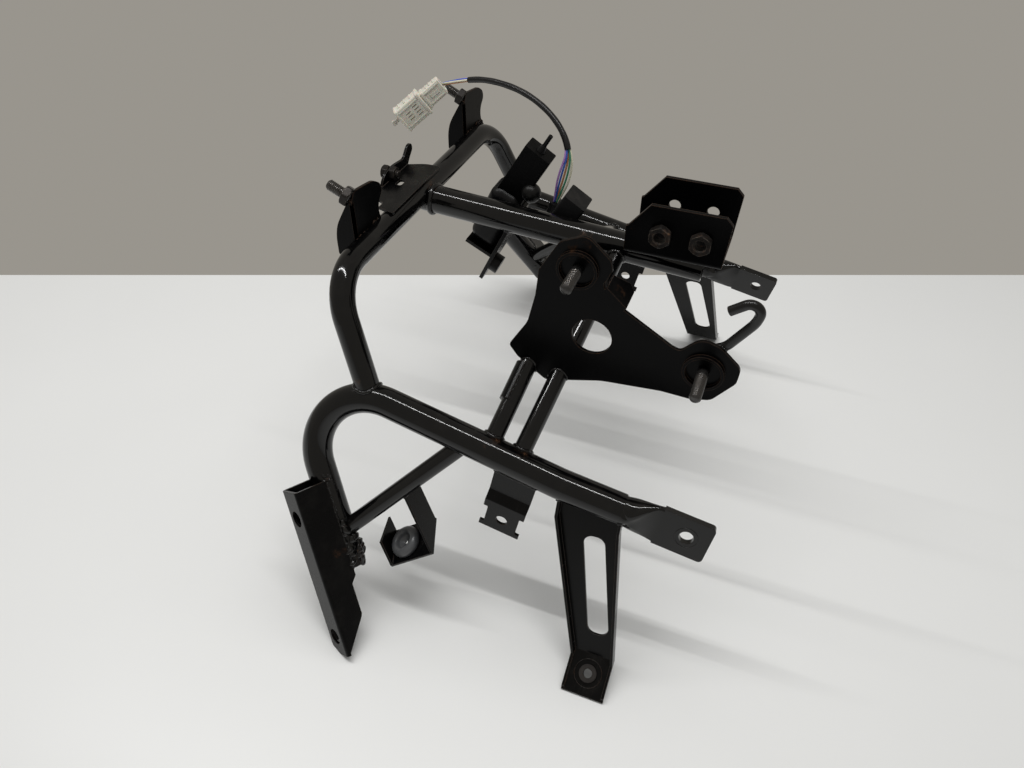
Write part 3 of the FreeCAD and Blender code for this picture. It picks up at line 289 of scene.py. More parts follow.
def moulded(name, colour, roughness, scuff=0.35, dust=0.3, see_through=0.0, shine=0.5):
    """Moulded plastic or rubber with a fine grain, scuffs and dust."""
    plastic = Finish(name)
    broad = plastic.noise(35, 4)
    fine = plastic.noise(650, 3, 0.6)
    edge = plastic.edges(0.9 * MM)
    rubbing = plastic.noise(170, 6, 0.72, plastic.stretched(1, 1, 4))
    scuffs = (rubbing * 1.2 + edge * 0.4 - 0.95).step(0.0, 0.4)
    upward = (plastic.facing_up() - 0.1).clamp()
    dusty = (upward * plastic.noise(80, 5, 0.7).step(0.4, 0.75) * dust * 0.5).clamp()
    lighter = tuple(min(1.0, c * 1.6 + 0.03) for c in colour)
    darker = tuple(c * 0.75 for c in colour)
    shade = plastic.mix(broad * 0.35, colour, darker)
    shade = plastic.mix(scuffs * scuff, shade, lighter)
    shade = plastic.mix(dusty, shade, DUST)
    plastic.set(Base_Color=shade, Roughness=(roughness + fine * 0.1 + scuffs * 0.15 + dusty * 0.4).clamp())
    plastic.set(Specular_IOR_Level=shine)
    if see_through:
        plastic.set(Subsurface_Weight=see_through, Subsurface_Scale=2.0 * MM)
    plastic.bump(fine * 0.5 + broad * 0.4, 0.06 * MM, 0.5, 0.5 * MM)
    return plastic.material


WELDS_AT_SPINE = [(at(0, 8, 258), 0.014), (at(-10, 2, 259), 0.012)]
WELDS_AT_STRUTS = [(at(160, 124, 158), 0.017), (at(160, 146, 153), 0.015), (at(6, 140, 244), 0.012)]
WELDS_AT_TEE = [(at(160, 24, 184), 0.009)]
WELDS_AT_CHANNEL = [(at(222, 22, 66), 0.020), (at(226, 8, 84), 0.012), (at(218, 36, 52), 0.016)]
WELDS_AT_PLATE = [(at(100, 162, 291), 0.018), (at(92, 187, 258), 0.012)]

tube_paint = enamel("tube_enamel", gloss=0.05, wear=0.1, dust=0.3, shine=0.45,
                    rust_places=WELDS_AT_SPINE + WELDS_AT_STRUTS + WELDS_AT_TEE + WELDS_AT_CHANNEL)
bracket_paint = enamel("bracket_enamel", gloss=0.20, wear=0.3, rust=0.2, dust=0.4, shine=0.18)
head_paint = enamel("head_bracket_enamel", gloss=0.30, wear=0.45, rust=0.62, dust=0.25, shine=0.08)
plate_paint = enamel("instrument_plate_enamel", gloss=0.26, wear=0.3, rust=0.42, dust=0.25, shine=0.08,
                     rust_places=WELDS_AT_PLATE)
channel_paint = enamel("channel_enamel", gloss=0.24, wear=0.3, rust=0.15, dust=0.5, shine=0.15,
                       rust_places=WELDS_AT_CHANNEL)
weld_metal = enamel("weld_beads", gloss=0.16, wear=0.3, rust=0.40, dust=0.1)
hook_steel = enamel("hook_rod_enamel", gloss=0.22, wear=0.3, rust=0.3)

stud_steel = bare_steel("stud_steel", (0.09, 0.087, 0.085), rust=0.1, grime=0.6, roughness=0.16, corners=0.5)
nut_steel = bare_steel("nut_steel", (0.03, 0.027, 0.025), rust=0.2, grime=0.8, roughness=0.22, corners=0.3)
weld_nut_steel = bare_steel("weld_nut_steel", (0.015, 0.012, 0.010), rust=0.32, grime=0.9, roughness=0.40,
                            corners=0.55)
foot_steel = bare_steel("foot_nut_steel", (0.06, 0.055, 0.052), rust=0.2, grime=0.8)

rubber = moulded("grommet_rubber", (0.075, 0.077, 0.08), roughness=0.24, scuff=0.5)
soft_rubber = moulded("bush_rubber", (0.003, 0.003, 0.003), roughness=0.3, dust=0.1, shine=0.25)
black_plastic = moulded("black_plastic", (0.003, 0.003, 0.0035), roughness=0.28, scuff=0.12, dust=0.12,
                        shine=0.2)
socket_plastic = moulded("socket_plastic", (0.002, 0.002, 0.0022), roughness=0.38, scuff=0.08, dust=0.08,
                         shine=0.08)
grey_plastic = moulded("sensor_plastic", (0.006, 0.006, 0.0065), roughness=0.45, scuff=0.2, dust=0.2,
                       shine=0.2)
nylon = moulded("nylon", (0.66, 0.63, 0.54), roughness=0.32, scuff=0.2, dust=0.5, see_through=0.15)
# Dark strips for the connector's slots: grime together with painted shade where the openings would be.
slot_grime_and_shade = moulded("slot_grime_and_shade", (0.20, 0.165, 0.12), roughness=0.6, scuff=0.3)
sleeve_vinyl = moulded("sleeve_vinyl", (0.004, 0.004, 0.005), roughness=0.26, scuff=0.15, dust=0.2,
                       shine=0.4)

WIRE_COLOURS = {
    "purple": (0.42, 0.22, 0.55),
    "blue": (0.045, 0.10, 0.42),
    "orange_brown": (0.52, 0.22, 0.09),
    "green": (0.045, 0.24, 0.13),
    "cream": (0.70, 0.66, 0.50),
}
wire_finishes = [moulded("wire_" + name, colour, roughness=0.35, scuff=0.15, dust=0.15)
                 for name, colour in WIRE_COLOURS.items()]


def dress(finish, *names):
    for name in names:
        mesh = nodes[name].data
        mesh.materials.clear()
        mesh.materials.append(finish)


def both(stem):
    return ["left_" + stem, "right_" + stem]


dress(tube_paint, "top_loop_tube", "spine_tube", *both("lower_tube"), *both("front_strut"),
      *both("rear_strut"), *both("diagonal_strut"))
dress(bracket_paint, *both("grommet_strap"), *both("leg_bracket"), *both("clip_tab"), "strut_saddle",
      "actuator_strip", "actuator_flange")
dress(channel_paint, *both("channel_bracket"))
dress(head_paint, "head_bracket")
dress(plate_paint, "instrument_plate")
dress(weld_metal, "spine_weld")
dress(foot_steel, *both("foot_nut"))
dress(hook_steel, "hook_rod")
dress(soft_rubber, "actuator_bush", "socket_boot")
dress(black_plastic, "actuator_body", "socket_stalk")
dress(socket_plastic, "socket_block")
dress(grey_plastic, "sensor_box", "sensor_lug")


# Mesh helpers

def new_piece(name, bm, finish):
    """Turns a bmesh into a smooth piece of the fixed body."""
    bmesh.ops.recalc_face_normals(bm, faces=bm.faces)
    mesh = bpy.data.meshes.new(name)
    bm.to_mesh(mesh)
    bm.free()
    for polygon in mesh.polygons:
        polygon.use_smooth = True
    piece = bpy.data.objects.new(name, mesh)
    bpy.context.scene.collection.objects.link(piece)
    mesh.materials.append(finish)
    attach(piece, "root")
    return piece


def sharpen(piece, degrees):
    """Flat faces stay flat: edges beyond an angle are marked sharp."""
    bm = bmesh.new()
    bm.from_mesh(piece.data)
    for edge in bm.edges:
        if len(edge.link_faces) == 2 and edge.calc_face_angle(0.0) > math.radians(degrees):
            edge.smooth = False
    bm.to_mesh(piece.data)
    bm.free()


def add_tube(bm, points, radii, sides, closed=False, material=0):
    """Adds a round tube through the points, with a radius at each, and end caps unless it is closed."""
    count = len(points)
    rings = []
    along = (points[1] - points[0]).normalized()
    across = along.orthogonal().normalized()
    for index, point in enumerate(points):
        before = points[index - 1] if index or closed else point
        after = points[(index + 1) % count] if index < count - 1 or closed else point
        along = (after - before).normalized()
        across = (across - along * across.dot(along)).normalized()
        other = along.cross(across)
        ring = []
        for side in range(sides):
            turn = 2 * math.pi * side / sides
            reach = (across * math.cos(turn) + other * math.sin(turn)) * radii[index]
            ring.append(bm.verts.new(point + reach))
        rings.append(ring)
    shift = 0
    if closed:
        gaps = [(rings[-1][0].co - rings[0][side].co).length for side in range(sides)]
        shift = gaps.index(min(gaps))
    for index in range(count if closed else count - 1):
        ring, following = rings[index], rings[(index + 1) % count]
        offset = shift if index == count - 1 else 0
        for side in range(sides):
            near, far = side + offset, side + 1 + offset
            face = bm.faces.new((ring[side], ring[(side + 1) % sides], following[far % sides],
                                 following[near % sides]))
            face.material_index = material
    if not closed:
        for ring in (list(reversed(rings[0])), rings[-1]):
            bm.faces.new(ring).material_index = material


def skin(bm, rows, cap=True):
    """Surface through rows of points, each row a ring, with caps on the first and last."""
    rings = [[bm.verts.new(point) for point in row] for row in rows]
    count = len(rings[0])
    for ring, following in zip(rings, rings[1:]):
        for side in range(count):
            nxt = (side + 1) % count
            bm.faces.new((ring[side], ring[nxt], following[nxt], following[side]))
    if cap:
        bm.faces.new(list(reversed(rings[0])))
        bm.faces.new(rings[-1])


def axis_frame(origin, axis):
    """Local frame in metres whose z runs along an axis."""
    z = Vector(axis).normalized()
    x = z.orthogonal().normalized()
    return Matrix.Translation(origin) @ Matrix((x, z.cross(x), z)).transposed().to_4x4()


def plane_frame(origin, x_axis, y_axis):
    """Local frame in metres with x and y along two directions."""
    x = Vector(x_axis).normalized()
    z = x.cross(Vector(y_axis)).normalized()
    return Matrix.Translation(origin) @ Matrix((x, z.cross(x), z)).transposed().to_4x4()


def turned(bm, place, profile, sides, cap=True):
    """Lathe shape: profile rows are (radius, height) in millimetres, or (function of the angle, height)."""
    rows = []
    for radius, height in profile:
        row = []
        for side in range(sides):
            angle = 2 * math.pi * side / sides
            reach = radius(angle) if callable(radius) else radius
            row.append(place @ (Vector((math.cos(angle) * reach, math.sin(angle) * reach, height)) * MM))
        rows.append(row)
    if cap:
        skin(bm, rows)
    else:
        skin(bm, rows + rows[:1], False)
        bmesh.ops.remove_doubles(bm, verts=bm.verts, dist=1e-6)


# Weld beads along the seams where one CAD piece is coped to another

SAME_POINT = 0.002 * MM
SEAM_REACH = 0.35 * MM
BEAD_SPACING = 0.9 * MM
BEAD_SIDES = 10
BEAD_MEAN = 0.72
RIPPLE_SIZE = 0.26
RIPPLE_LENGTH = 1.9
SWELL_SIZE = 0.18
SWELL_RATE = 0.11
UNEVEN_RADIUS = 0.06
UNEVEN_PLACE = 0.15


def node_bmesh(name):
    bm = bmesh.new()
    bm.from_mesh(nodes[name].data)
    bmesh.ops.remove_doubles(bm, verts=bm.verts, dist=SAME_POINT)
    return bm


def grow(chain, links, unused):
    """Follows the unused edges on from the chain's last corner."""
    while True:
        follow = next((edge for edge in links[chain[-1]] if edge in unused), None)
        if follow is None:
            return
        unused.discard(follow)
        chain.append(follow.other_vert(chain[-1]))


def seams(name, mate):
    """Loops of edges on one node that bound the face by which it meets its mate."""
    bm = node_bmesh(name)
    other = node_bmesh(mate)
    tree = BVHTree.FromBMesh(other)
    near = [tree.find_nearest(vert.co, SEAM_REACH)[0] is not None for vert in bm.verts]
    touching = [all(near[vert.index] for vert in face.verts) for face in bm.faces]
    border = []
    links = {}
    for edge in bm.edges:
        faces = edge.link_faces
        if len(faces) == 2 and touching[faces[0].index] != touching[faces[1].index]:
            border.append(edge)
            for vert in edge.verts:
                links.setdefault(vert, []).append(edge)
    loops = []
    unused = set(border)
    for edge in border:
        if edge in unused:
            unused.discard(edge)
            chain = list(edge.verts)
            grow(chain, links, unused)
            chain.reverse()
            grow(chain, links, unused)
            loops.append([vert.co.copy() for vert in chain])
    bm.free()
    other.free()
    return loops


def length_of(points):
    return sum((b - a).length for a, b in zip(points, points[1:]))


def resample(points, spacing):
    """Points at an even spacing along a line."""
    total = length_of(points)
    steps = max(4, int(total / spacing))
    result = []
    for step in range(steps + 1):
        want = total * step / steps
        for a, b in zip(points, points[1:]):
            span = (b - a).length
            if want <= span or b is points[-1]:
                result.append(a.lerp(b, min(1.0, want / span) if span > 0 else 0.0))
                break
            want -= span
    return result


def weld(name, mate, radius, keep, seed):
    """Rippled bead along the seam of a node and its mate, kept to the longer loops."""
    loops = seams(name, mate)
    if not loops:
        return
    longest = max(length_of(loop) for loop in loops)
    dice = random.Random(seed * 7919 + len(name) * 31 + len(mate))
    bm = bmesh.new()
    for loop in loops:
        if length_of(loop) < longest * keep:
            continue
        closed = (loop[0] - loop[-1]).length < 0.5 * MM
        points = resample(loop, BEAD_SPACING)
        if closed:
            points = points[:-1]
        wave = dice.uniform(0, 6)
        radii = []
        for index, point in enumerate(points):
            ripple = abs(math.sin(index * BEAD_SPACING / MM / RIPPLE_LENGTH * math.pi / 2 + wave))
            swell = math.sin(index * SWELL_RATE + wave * 2) * SWELL_SIZE
            share = BEAD_MEAN + RIPPLE_SIZE * ripple + swell * 0.6
            radii.append(radius * MM * (share + dice.uniform(-UNEVEN_RADIUS, UNEVEN_RADIUS)))
            points[index] = point + Vector([dice.uniform(-UNEVEN_PLACE, UNEVEN_PLACE) * MM for _ in range(3)])
        add_tube(bm, points, radii, BEAD_SIDES, closed)
    new_piece("weld_%s_%s" % (name, mate), bm, weld_metal)


WHOLE_LOOP = 0.8
ANY_EDGE = 0.3
for seed, (name, mate) in enumerate([
        ("left_front_strut", "left_lower_tube"), ("left_rear_strut", "left_lower_tube"),
        ("left_front_strut", "spine_tube"), ("left_rear_strut", "spine_tube"),
        ("right_front_strut", "right_lower_tube"), ("right_rear_strut", "right_lower_tube"),
        ("right_front_strut", "spine_tube"), ("right_rear_strut", "spine_tube"),
        ("top_loop_tube", "left_lower_tube"), ("top_loop_tube", "right_lower_tube")]):
    weld(name, mate, 1.7, WHOLE_LOOP, seed)
for stem, _ in SIDES:
    for seed, (name, mate, radius) in enumerate([
            ("_clip_tab", "_lower_tube", 1.1), ("_leg_bracket", "_lower_tube", 1.3),
            ("_channel_bracket", "_lower_tube", 1.7), ("_grommet_strap", "_diagonal_strut", 1.1)], 20):
        weld(stem + name, stem + mate, radius, ANY_EDGE, seed)
weld("head_bracket", "spine_tube", 1.2, ANY_EDGE, 40)
weld("actuator_strip", "spine_tube", 1.0, ANY_EDGE, 41)
weld("instrument_plate", "left_front_strut", 1.2, ANY_EDGE, 43)
weld("instrument_plate", "left_rear_strut", 1.2, ANY_EDGE, 44)
weld("strut_saddle", "left_front_strut", 0.6, ANY_EDGE, 45)
weld("hook_rod", "instrument_plate", 1.1, ANY_EDGE, 46)


# Studs and nuts

THREAD_PITCH = 1.25
THREAD_DEPTH = 0.62
THREAD_SIDES = 24
ROWS_PER_TURN = 6
TIP_CHAMFER = 1.3
TIP_SLOPE = 0.9
SHOULDER_BEVEL = 0.3
NUT_SIDES = 72
HEX_ANGLE = math.pi / 3


def thread_rows(radius, length, start):
    """Rings of a chamfered threaded rod: a plain foot, then a helical ridge."""
    rows = []
    rise = THREAD_PITCH / ROWS_PER_TURN
    heights = [0.0] + [start + rise * n for n in range(int((length - start) / rise))] + [length]
    for height in heights:
        row = []
        for side in range(THREAD_SIDES):
            angle = 2 * math.pi * side / THREAD_SIDES
            phase = ((height - start) / THREAD_PITCH - side / THREAD_SIDES) % 1.0
            ridge = 1 - abs(2 * phase - 1)
            fade = min(1.0, max(0.0, (height - start) / THREAD_PITCH))
            reach = radius - THREAD_DEPTH * (1 - ridge) * fade
            reach = min(reach, radius - TIP_CHAMFER + max(0.0, length - height) * TIP_SLOPE)
            row.append((math.cos(angle) * reach, math.sin(angle) * reach, height))
        rows.append(row)
    return rows


def threaded_stud(node, origin, axis, radius, length, start, shoulder=None):
    """Threaded rod in place of a node, with a round shoulder of a radius and height where one is given."""
    bm = bmesh.new()
    place = axis_frame(origin, axis)
    skin(bm, [[place @ (Vector(point) * MM) for point in row] for row in thread_rows(radius, length, start)])
    if shoulder:
        wide, high = shoulder
        narrow = wide - SHOULDER_BEVEL
        turned(bm, place, [(narrow, 0.0), (wide, SHOULDER_BEVEL), (wide, high - SHOULDER_BEVEL),
                           (narrow, high)], 32)
    piece = new_piece(node + "_thread", bm, stud_steel)
    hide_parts(node)


def nut_profile(width, height, bore, chamfer=0.9, turn=0.0):
    """Rows of a chamfered hexagon nut with a countersunk bore, outside first."""
    flat = width / 2
    corner = flat / math.cos(HEX_ANGLE / 2) - flat
    sink = 0.7

    def hexagonal(share):
        def reach(angle):
            local = (angle + turn) % HEX_ANGLE - HEX_ANGLE / 2
            return min(flat / math.cos(local), flat * 1.01 + corner * share)
        return reach

    return [(bore / 2 + sink, 0.0), (hexagonal(0.0), 0.0), (hexagonal(0.55), chamfer * 0.45),
            (hexagonal(1.0), chamfer), (hexagonal(1.0), height - chamfer),
            (hexagonal(0.55), height - chamfer * 0.45), (hexagonal(0.0), height),
            (bore / 2 + sink, height), (bore / 2, height - sink), (bore / 2, sink)]


def nut_piece(node, origin, axis, width, height, bore, finish, turn):
    bm = bmesh.new()
    turned(bm, axis_frame(origin, axis), nut_profile(width, height, bore, turn=turn), NUT_SIDES, False)
    piece = new_piece(node + "_detail", bm, finish)
    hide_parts(node)
    sharpen(piece, 35)


STUD_RADIUS = 4.0
PLATE_SIDE = 100.0
threaded_stud("upper_stud", at(PLATE_SIDE, 161.566, 275.156), (1, 0, 0), STUD_RADIUS, 25.5, 5.0)
threaded_stud("rear_stud", at(PLATE_SIDE, 251.066, 217.656), (1, 0, 0), STUD_RADIUS, 29.0, 6.0)
SCREEN_TILT = math.radians(25.5)
SCREEN_AXIS = Vector((0, -math.cos(SCREEN_TILT), math.sin(SCREEN_TILT)))
SHEET = 2.0
for stem, side in SIDES:
    seat = at(side * 94.4, -3.2, 288.6) + SCREEN_AXIS * SHEET * MM
    threaded_stud(stem + "_screen_stud", seat, SCREEN_AXIS, STUD_RADIUS, 18.0, 5.2, (4.5, 5.0))
    nut_piece(stem + "_screen_nut", seat, SCREEN_AXIS, 13.0, 5.0, 9.0, nut_steel, 0.3)
for stem, back in (("front", 198.3), ("rear", 226.7)):
    nut_piece("head_nut_" + stem, at(23.7, back, 266.0), (1, 0, 0), 14.6, 6.0, 8.0, weld_nut_steel, 0.26)


# Grommets: a soft ring with a dished eye, its bore closed by a rubber sheet that stands in for the shade
# inside the hole

# The last rows, from (6.0, 0.4) to (1.4, 2.2), span the eye with a sheet of rubber, put there as shade for
# the dark hole; only a pin hole stays open.
GROMMET_PROFILE = [(1.6, 3.2), (6.0, 3.35), (11.2, 3.35), (12.5, 2.6), (12.6, 0.5), (12.2, -1.2),
                   (11.0, -2.7), (9.2, -3.45), (7.6, -3.3), (6.7, -2.5), (6.3, -1.2), (6.0, 0.4),
                   (5.4, 1.2), (1.6, 1.6), (1.4, 2.2)]
for stem, side in SIDES:
    through = Vector((side * -0.333, 0.473, -0.816))
    low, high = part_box(stem + "_grommet")
    bm = bmesh.new()
    turned(bm, axis_frame((Vector(low) + Vector(high)) / 2, through), GROMMET_PROFILE, 48, False)
    ring = new_piece(stem + "_grommet_ring", bm, rubber)
    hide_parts(stem + "_grommet")


# Lumps of weld where the channel, the nose and the diagonal strut meet

def lump(bm, centre, radius, dice):
    """A ball, stretched at random and dented by gentle waves."""
    made = bmesh.ops.create_icosphere(bm, subdivisions=3, radius=radius)
    stretch = Vector([dice.uniform(0.75, 1.35) for _ in range(3)])
    phase = dice.uniform(0, 6)
    for vert in made["verts"]:
        unit = vert.co / radius
        dent = 1 + 0.09 * math.sin(4.1 * unit.x + phase) + 0.08 * math.sin(5.3 * unit.y - phase)
        dent += 0.06 * math.sin(6.7 * unit.z)
        vert.co = centre + vert.co * stretch * dent


SEAM_START = Vector((208.3, -108.5, 68.7))
SEAM_END = Vector((218.4, -97.2, 46.4))
SEAM_OUTWARD = Vector((0.609, 0.561, 0.560))
SEAM_REARWARD = Vector((-0.70, 0.71, 0.04))
NOSE_LUMPS = 34
UPPER_LUMPS = 7
for stem, side in SIDES:
    dice = random.Random(404)
    bm = bmesh.new()
    for _ in range(NOSE_LUMPS):
        share = dice.uniform(-0.35, 1.02)
        turn = math.radians(dice.uniform(-20, 112))
        spot = SEAM_START.lerp(SEAM_END, share)
        spot += (SEAM_OUTWARD * math.cos(turn) + SEAM_REARWARD * math.sin(turn)) * dice.uniform(7.6, 9.8)
        spot.x *= side
        lump(bm, spot * MM, dice.uniform(2.4, 4.4) * MM, dice)
    for _ in range(UPPER_LUMPS):
        spot = SEAM_START.lerp(SEAM_END, dice.uniform(-1.75, -1.5)) + SEAM_OUTWARD * 9.6
        spot += Vector([dice.uniform(-3, 3) for _ in range(3)])
        spot.x *= side
        lump(bm, spot * MM, dice.uniform(1.4, 2.4) * MM, dice)
    new_piece(stem + "_nose_weld", bm, weld_metal)


# Pressed rings round the foot holes and the lower tubes' eyes

RING_STEPS = 48
RING_HALF = 0.32
RAY_START = 5.0


def pressed_ring(stem, node, centre, normal, radius, finish):
    """Thin raised ring that lies on a node's surface round a hole."""
    bm = node_bmesh(node)
    tree = BVHTree.FromBMesh(bm)
    bm.free()
    place = axis_frame(centre, normal)
    points = []
    for step in range(RING_STEPS):
        angle = 2 * math.pi * step / RING_STEPS
        above = place @ (Vector((math.cos(angle) * radius, math.sin(angle) * radius, RAY_START)) * MM)
        hit = tree.ray_cast(above, -Vector(normal).normalized())[0]
        if hit:
            points.append(hit)
    bm = bmesh.new()
    add_tube(bm, points, [RING_HALF * MM] * len(points), 8, True)
    new_piece(stem + "_ring", bm, finish)


for stem, side in SIDES:
    foot = Vector((side * 217.0, 95.95, 8.05)) * MM
    pressed_ring(stem + "_foot", stem + "_leg_bracket", foot, (side * 0.5, 0, 0.866), 10.2, bracket_paint)
    eye = Vector((side * 159.92, 139.36, 124.45)) * MM
    pressed_ring(stem + "_eye", stem + "_lower_tube", eye, (side * 0.9658, 0.0594, 0.2523), 7.8, tube_paint)


# Bent plates: the centre plate and the screen brackets

ROUND_STEPS = 5


def round_corners(corners):
    """Outline through corners (x, y, radius), each eased by a curve as wide as its radius."""
    points = []
    for index, (x, y, radius) in enumerate(corners):
        corner = Vector((x, y))
        before = Vector(corners[index - 1][:2]) - corner
        after = Vector(corners[(index + 1) % len(corners)][:2]) - corner
        ease = min(radius, before.length * 0.48, after.length * 0.48)
        if ease < 0.05:
            points.append(corner)
            continue
        first = corner + before.normalized() * ease
        last = corner + after.normalized() * ease
        for step in range(ROUND_STEPS + 1):
            share = step / ROUND_STEPS
            points.append(first.lerp(corner, share).lerp(corner.lerp(last, share), share))
    return points


def add_plate(bm, place, outlines, thick):
    """Flat plate from an outline and its holes, in millimetres, as thick along the frame's z as given."""
    rings = [round_corners(outline) for outline in outlines]
    flat = [point for ring in rings for point in ring]
    low = [bm.verts.new(place @ (Vector((p.x, p.y, 0)) * MM)) for p in flat]
    high = [bm.verts.new(place @ (Vector((p.x, p.y, thick)) * MM)) for p in flat]
    for a, b, c in tessellate_polygon([[Vector((p.x, p.y, 0)) for p in ring] for ring in rings]):
        bm.faces.new((low[a], low[b], low[c]))
        bm.faces.new((high[c], high[b], high[a]))
    start = 0
    for ring in rings:
        for index in range(len(ring)):
            here, following = start + index, start + (index + 1) % len(ring)
            bm.faces.new((low[here], low[following], high[following], high[here]))
        start += len(ring)


PLATE_TOP = 260.8
PLATE_OUTLINE = [(-24, -122.4, 3), (58, -122.4, 3), (50, -147.4, 6), (24, -151.4, 3), (-17, -151.4, 3),
                 (-24, -135.4, 5)]
PLATE_SLOT = [(46, -136.9, 2), (54, -136.9, 2), (49, -143.4, 2), (43, -143.4, 2)]
PLATE_WINDOW = [(8, -137.1, 2), (17, -137.1, 2), (17, -142.4, 2), (8, -142.4, 2)]
WALL_FACE = -149.4
WALL_OUTLINE = [(25, 258.8, 0), (23, 264, 3), (16, 269.5, 4), (2, 269.5, 4), (-13, 267.5, 3), (-21, 275, 2),
                (-27, 275.5, 3), (-29, 270, 3), (-22, 264, 4), (-18, 258.8, 0)]
bm = bmesh.new()
add_plate(bm, plane_frame(Vector((0, 0, PLATE_TOP - SHEET)) * MM, (1, 0, 0), (0, 1, 0)),
          [PLATE_OUTLINE, PLATE_SLOT, PLATE_WINDOW], SHEET)
add_plate(bm, plane_frame(Vector((0, WALL_FACE, 0)) * MM, (1, 0, 0), (0, 0, 1)), [WALL_OUTLINE], SHEET)
centre_sheet = new_piece("centre_plate_sheet", bm, bracket_paint)
sharpen(centre_sheet, 25)
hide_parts("centre_plate")

BOLT_SIDE = 9
BOLT_HEIGHT = 265.3
HEAD_FACE = WALL_FACE - SHEET
HEX_WIDTH = 10.0
BOLT_PROFILE = [(2.4, 0), (3.0, 0.6), (3.0, 9.0), (2.6, 9.2)]


def bolt_frame(y):
    return axis_frame(Vector((BOLT_SIDE, y, BOLT_HEIGHT)) * MM, (0, -1, 0))


bm = bmesh.new()
turned(bm, bolt_frame(HEAD_FACE), nut_profile(HEX_WIDTH, 5.0, 1.0, 0.8), NUT_SIDES, False)
turned(bm, bolt_frame(-144.6), nut_profile(HEX_WIDTH, 4.8, 1.0, 0.8), NUT_SIDES, False)
turned(bm, bolt_frame(-142.0), BOLT_PROFILE, 24)
centre_bolt = new_piece("centre_bolt_detail", bm, nut_steel)
sharpen(centre_bolt, 35)
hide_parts("centre_bolt")

FOLD_Y = -130.6
FOLD_X = 96.5
RIGHT_SHIFT = -188.8
FACE_OUTLINE = [(FOLD_X, 246, 0), (FOLD_X, 287, 2), (92, 293.5, 3), (84, 292.5, 4), (66, 289.5, 4),
                (57, 283.5, 4), (55.5, 277, 4), (63, 270, 5), (63, 260, 5), (55, 251, 4), (52, 246, 0)]
FLANGE_OUTLINE = [(FOLD_Y, 244, 0), (FOLD_Y, 287, 1), (-133.0, 288.5, 1.5), (-137, 282, 3), (-145.5, 267, 5),
                  (-147.8, 257, 5), (-148, 242, 2)]
BRACKET_LUMPS = 8
LUMP_SPACING = 5
LUMP_HEIGHT = 257.5
for stem, shift in (("left", 0.0), ("right", RIGHT_SHIFT)):
    bm = bmesh.new()
    add_plate(bm, plane_frame(Vector((shift, FOLD_Y, 0)) * MM, (1, 0, 0), (0, 0, 1)), [FACE_OUTLINE], SHEET)
    fold = Vector((FOLD_X + shift, 0, 0)) * MM
    add_plate(bm, plane_frame(fold, (0, 1, 0), (0, 0, 1)), [FLANGE_OUTLINE], -SHEET)
    for step in range(BRACKET_LUMPS):
        dice = random.Random(step)
        spot = Vector((FOLD_X + shift - LUMP_SPACING * step,
                       FOLD_Y + dice.uniform(-1, 1),
                       LUMP_HEIGHT + dice.uniform(-1, 0.6)))
        lump(bm, spot * MM, dice.uniform(1.2, 2.2) * MM, dice)
    bracket = new_piece(stem + "_screen_bracket_sheet", bm, head_paint)
    sharpen(bracket, 25)
    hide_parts(stem + "_screen_bracket")


# Connector: two nylon shells, one pushed into the other, and the latch arm between them

QUARTER_STEPS = 4


def shell(bm, place, rows, corner):
    """Box with rounded long edges through rows of (x, half width, half height)."""
    rings = []
    for x, half_y, half_z in rows:
        ring = []
        ease = min(corner, half_z * 0.8)
        for quarter in range(4):
            middle_y = (half_y - ease) * (1 if quarter in (0, 3) else -1)
            middle_z = (half_z - ease) * (1 if quarter < 2 else -1)
            for step in range(QUARTER_STEPS + 1):
                angle = math.pi / 2 * (quarter + step / QUARTER_STEPS)
                point = Vector((x, middle_y + ease * math.cos(angle), middle_z + ease * math.sin(angle)))
                ring.append(place @ (point * MM))
        rings.append(ring)
    skin(bm, rings)


def bar(bm, place, x, y, z, material=0):
    """Small box from three (low, high) pairs in millimetres."""
    corners = [Vector((a, b, c)) for a in x for b in y for c in z]
    verts = [bm.verts.new(place @ (corner * MM)) for corner in corners]
    for face in ((0, 1, 3, 2), (4, 6, 7, 5), (0, 4, 5, 1), (2, 3, 7, 6), (0, 2, 6, 4), (1, 5, 7, 3)):
        bm.faces.new([verts[n] for n in face]).material_index = material


TAIL_ROWS = [(6, 5.4, 3.0), (0.6, 5.6, 3.2), (0.0, 6.4, 4.0), (0.7, 7.4, 4.9), (16.5, 7.4, 4.9),
             (17.0, 8.0, 5.5), (19.0, 8.0, 5.5), (19.6, 7.4, 4.9), (22, 7.4, 4.9)]
SHELL_ROWS = [(20.0, 9.6, 5.8), (20.7, 10.9, 6.9), (22.6, 10.9, 6.9), (23.0, 10.4, 6.5), (43.5, 10.4, 6.5),
              (43.9, 10.9, 6.9), (45.5, 10.9, 6.9), (46.0, 10.4, 6.4), (45.7, 9.4, 5.4), (33.0, 9.2, 5.2)]
HOOK_ROWS = [(42, 1.7, 0.9), (50.0, 1.6, 0.9), (50.8, 2.5, 1.0), (53.2, 2.4, 1.0), (54.0, 1.4, 0.6)]
HOOK_ASIDE = Vector((0, -2.2, 0)) * MM
SLOTS = ((26, -4.6), (26, -1.8), (26, 1.0), (26, 3.8), (34, -3.2), (34, -0.4), (34, 2.4))
SLOT_GRIME_AND_SHADE_INDEX = 1

plug_end = at(-80.0, -17.0, 305.0)
plug_place = plane_frame(plug_end, (0.45, -0.66, -0.60), (-0.30, 0.52, -0.80))
bm = bmesh.new()
shell(bm, plug_place, TAIL_ROWS, 1.4)
for y in (-5.6, 4.4):
    bar(bm, plug_place, (2.0, 16.5), (y, y + 1.2), (4.8, 5.5))
bar(bm, plug_place, (5.0, 13.0), (-1.6, 1.6), (4.8, 5.3))
for x in (4.0, 8.0, 12.0):
    bar(bm, plug_place, (x, x + 1.1), (-8.0, -7.3), (-3.0, 3.0))
tail = new_piece("connector_tail", bm, nylon)
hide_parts("connector_rear")

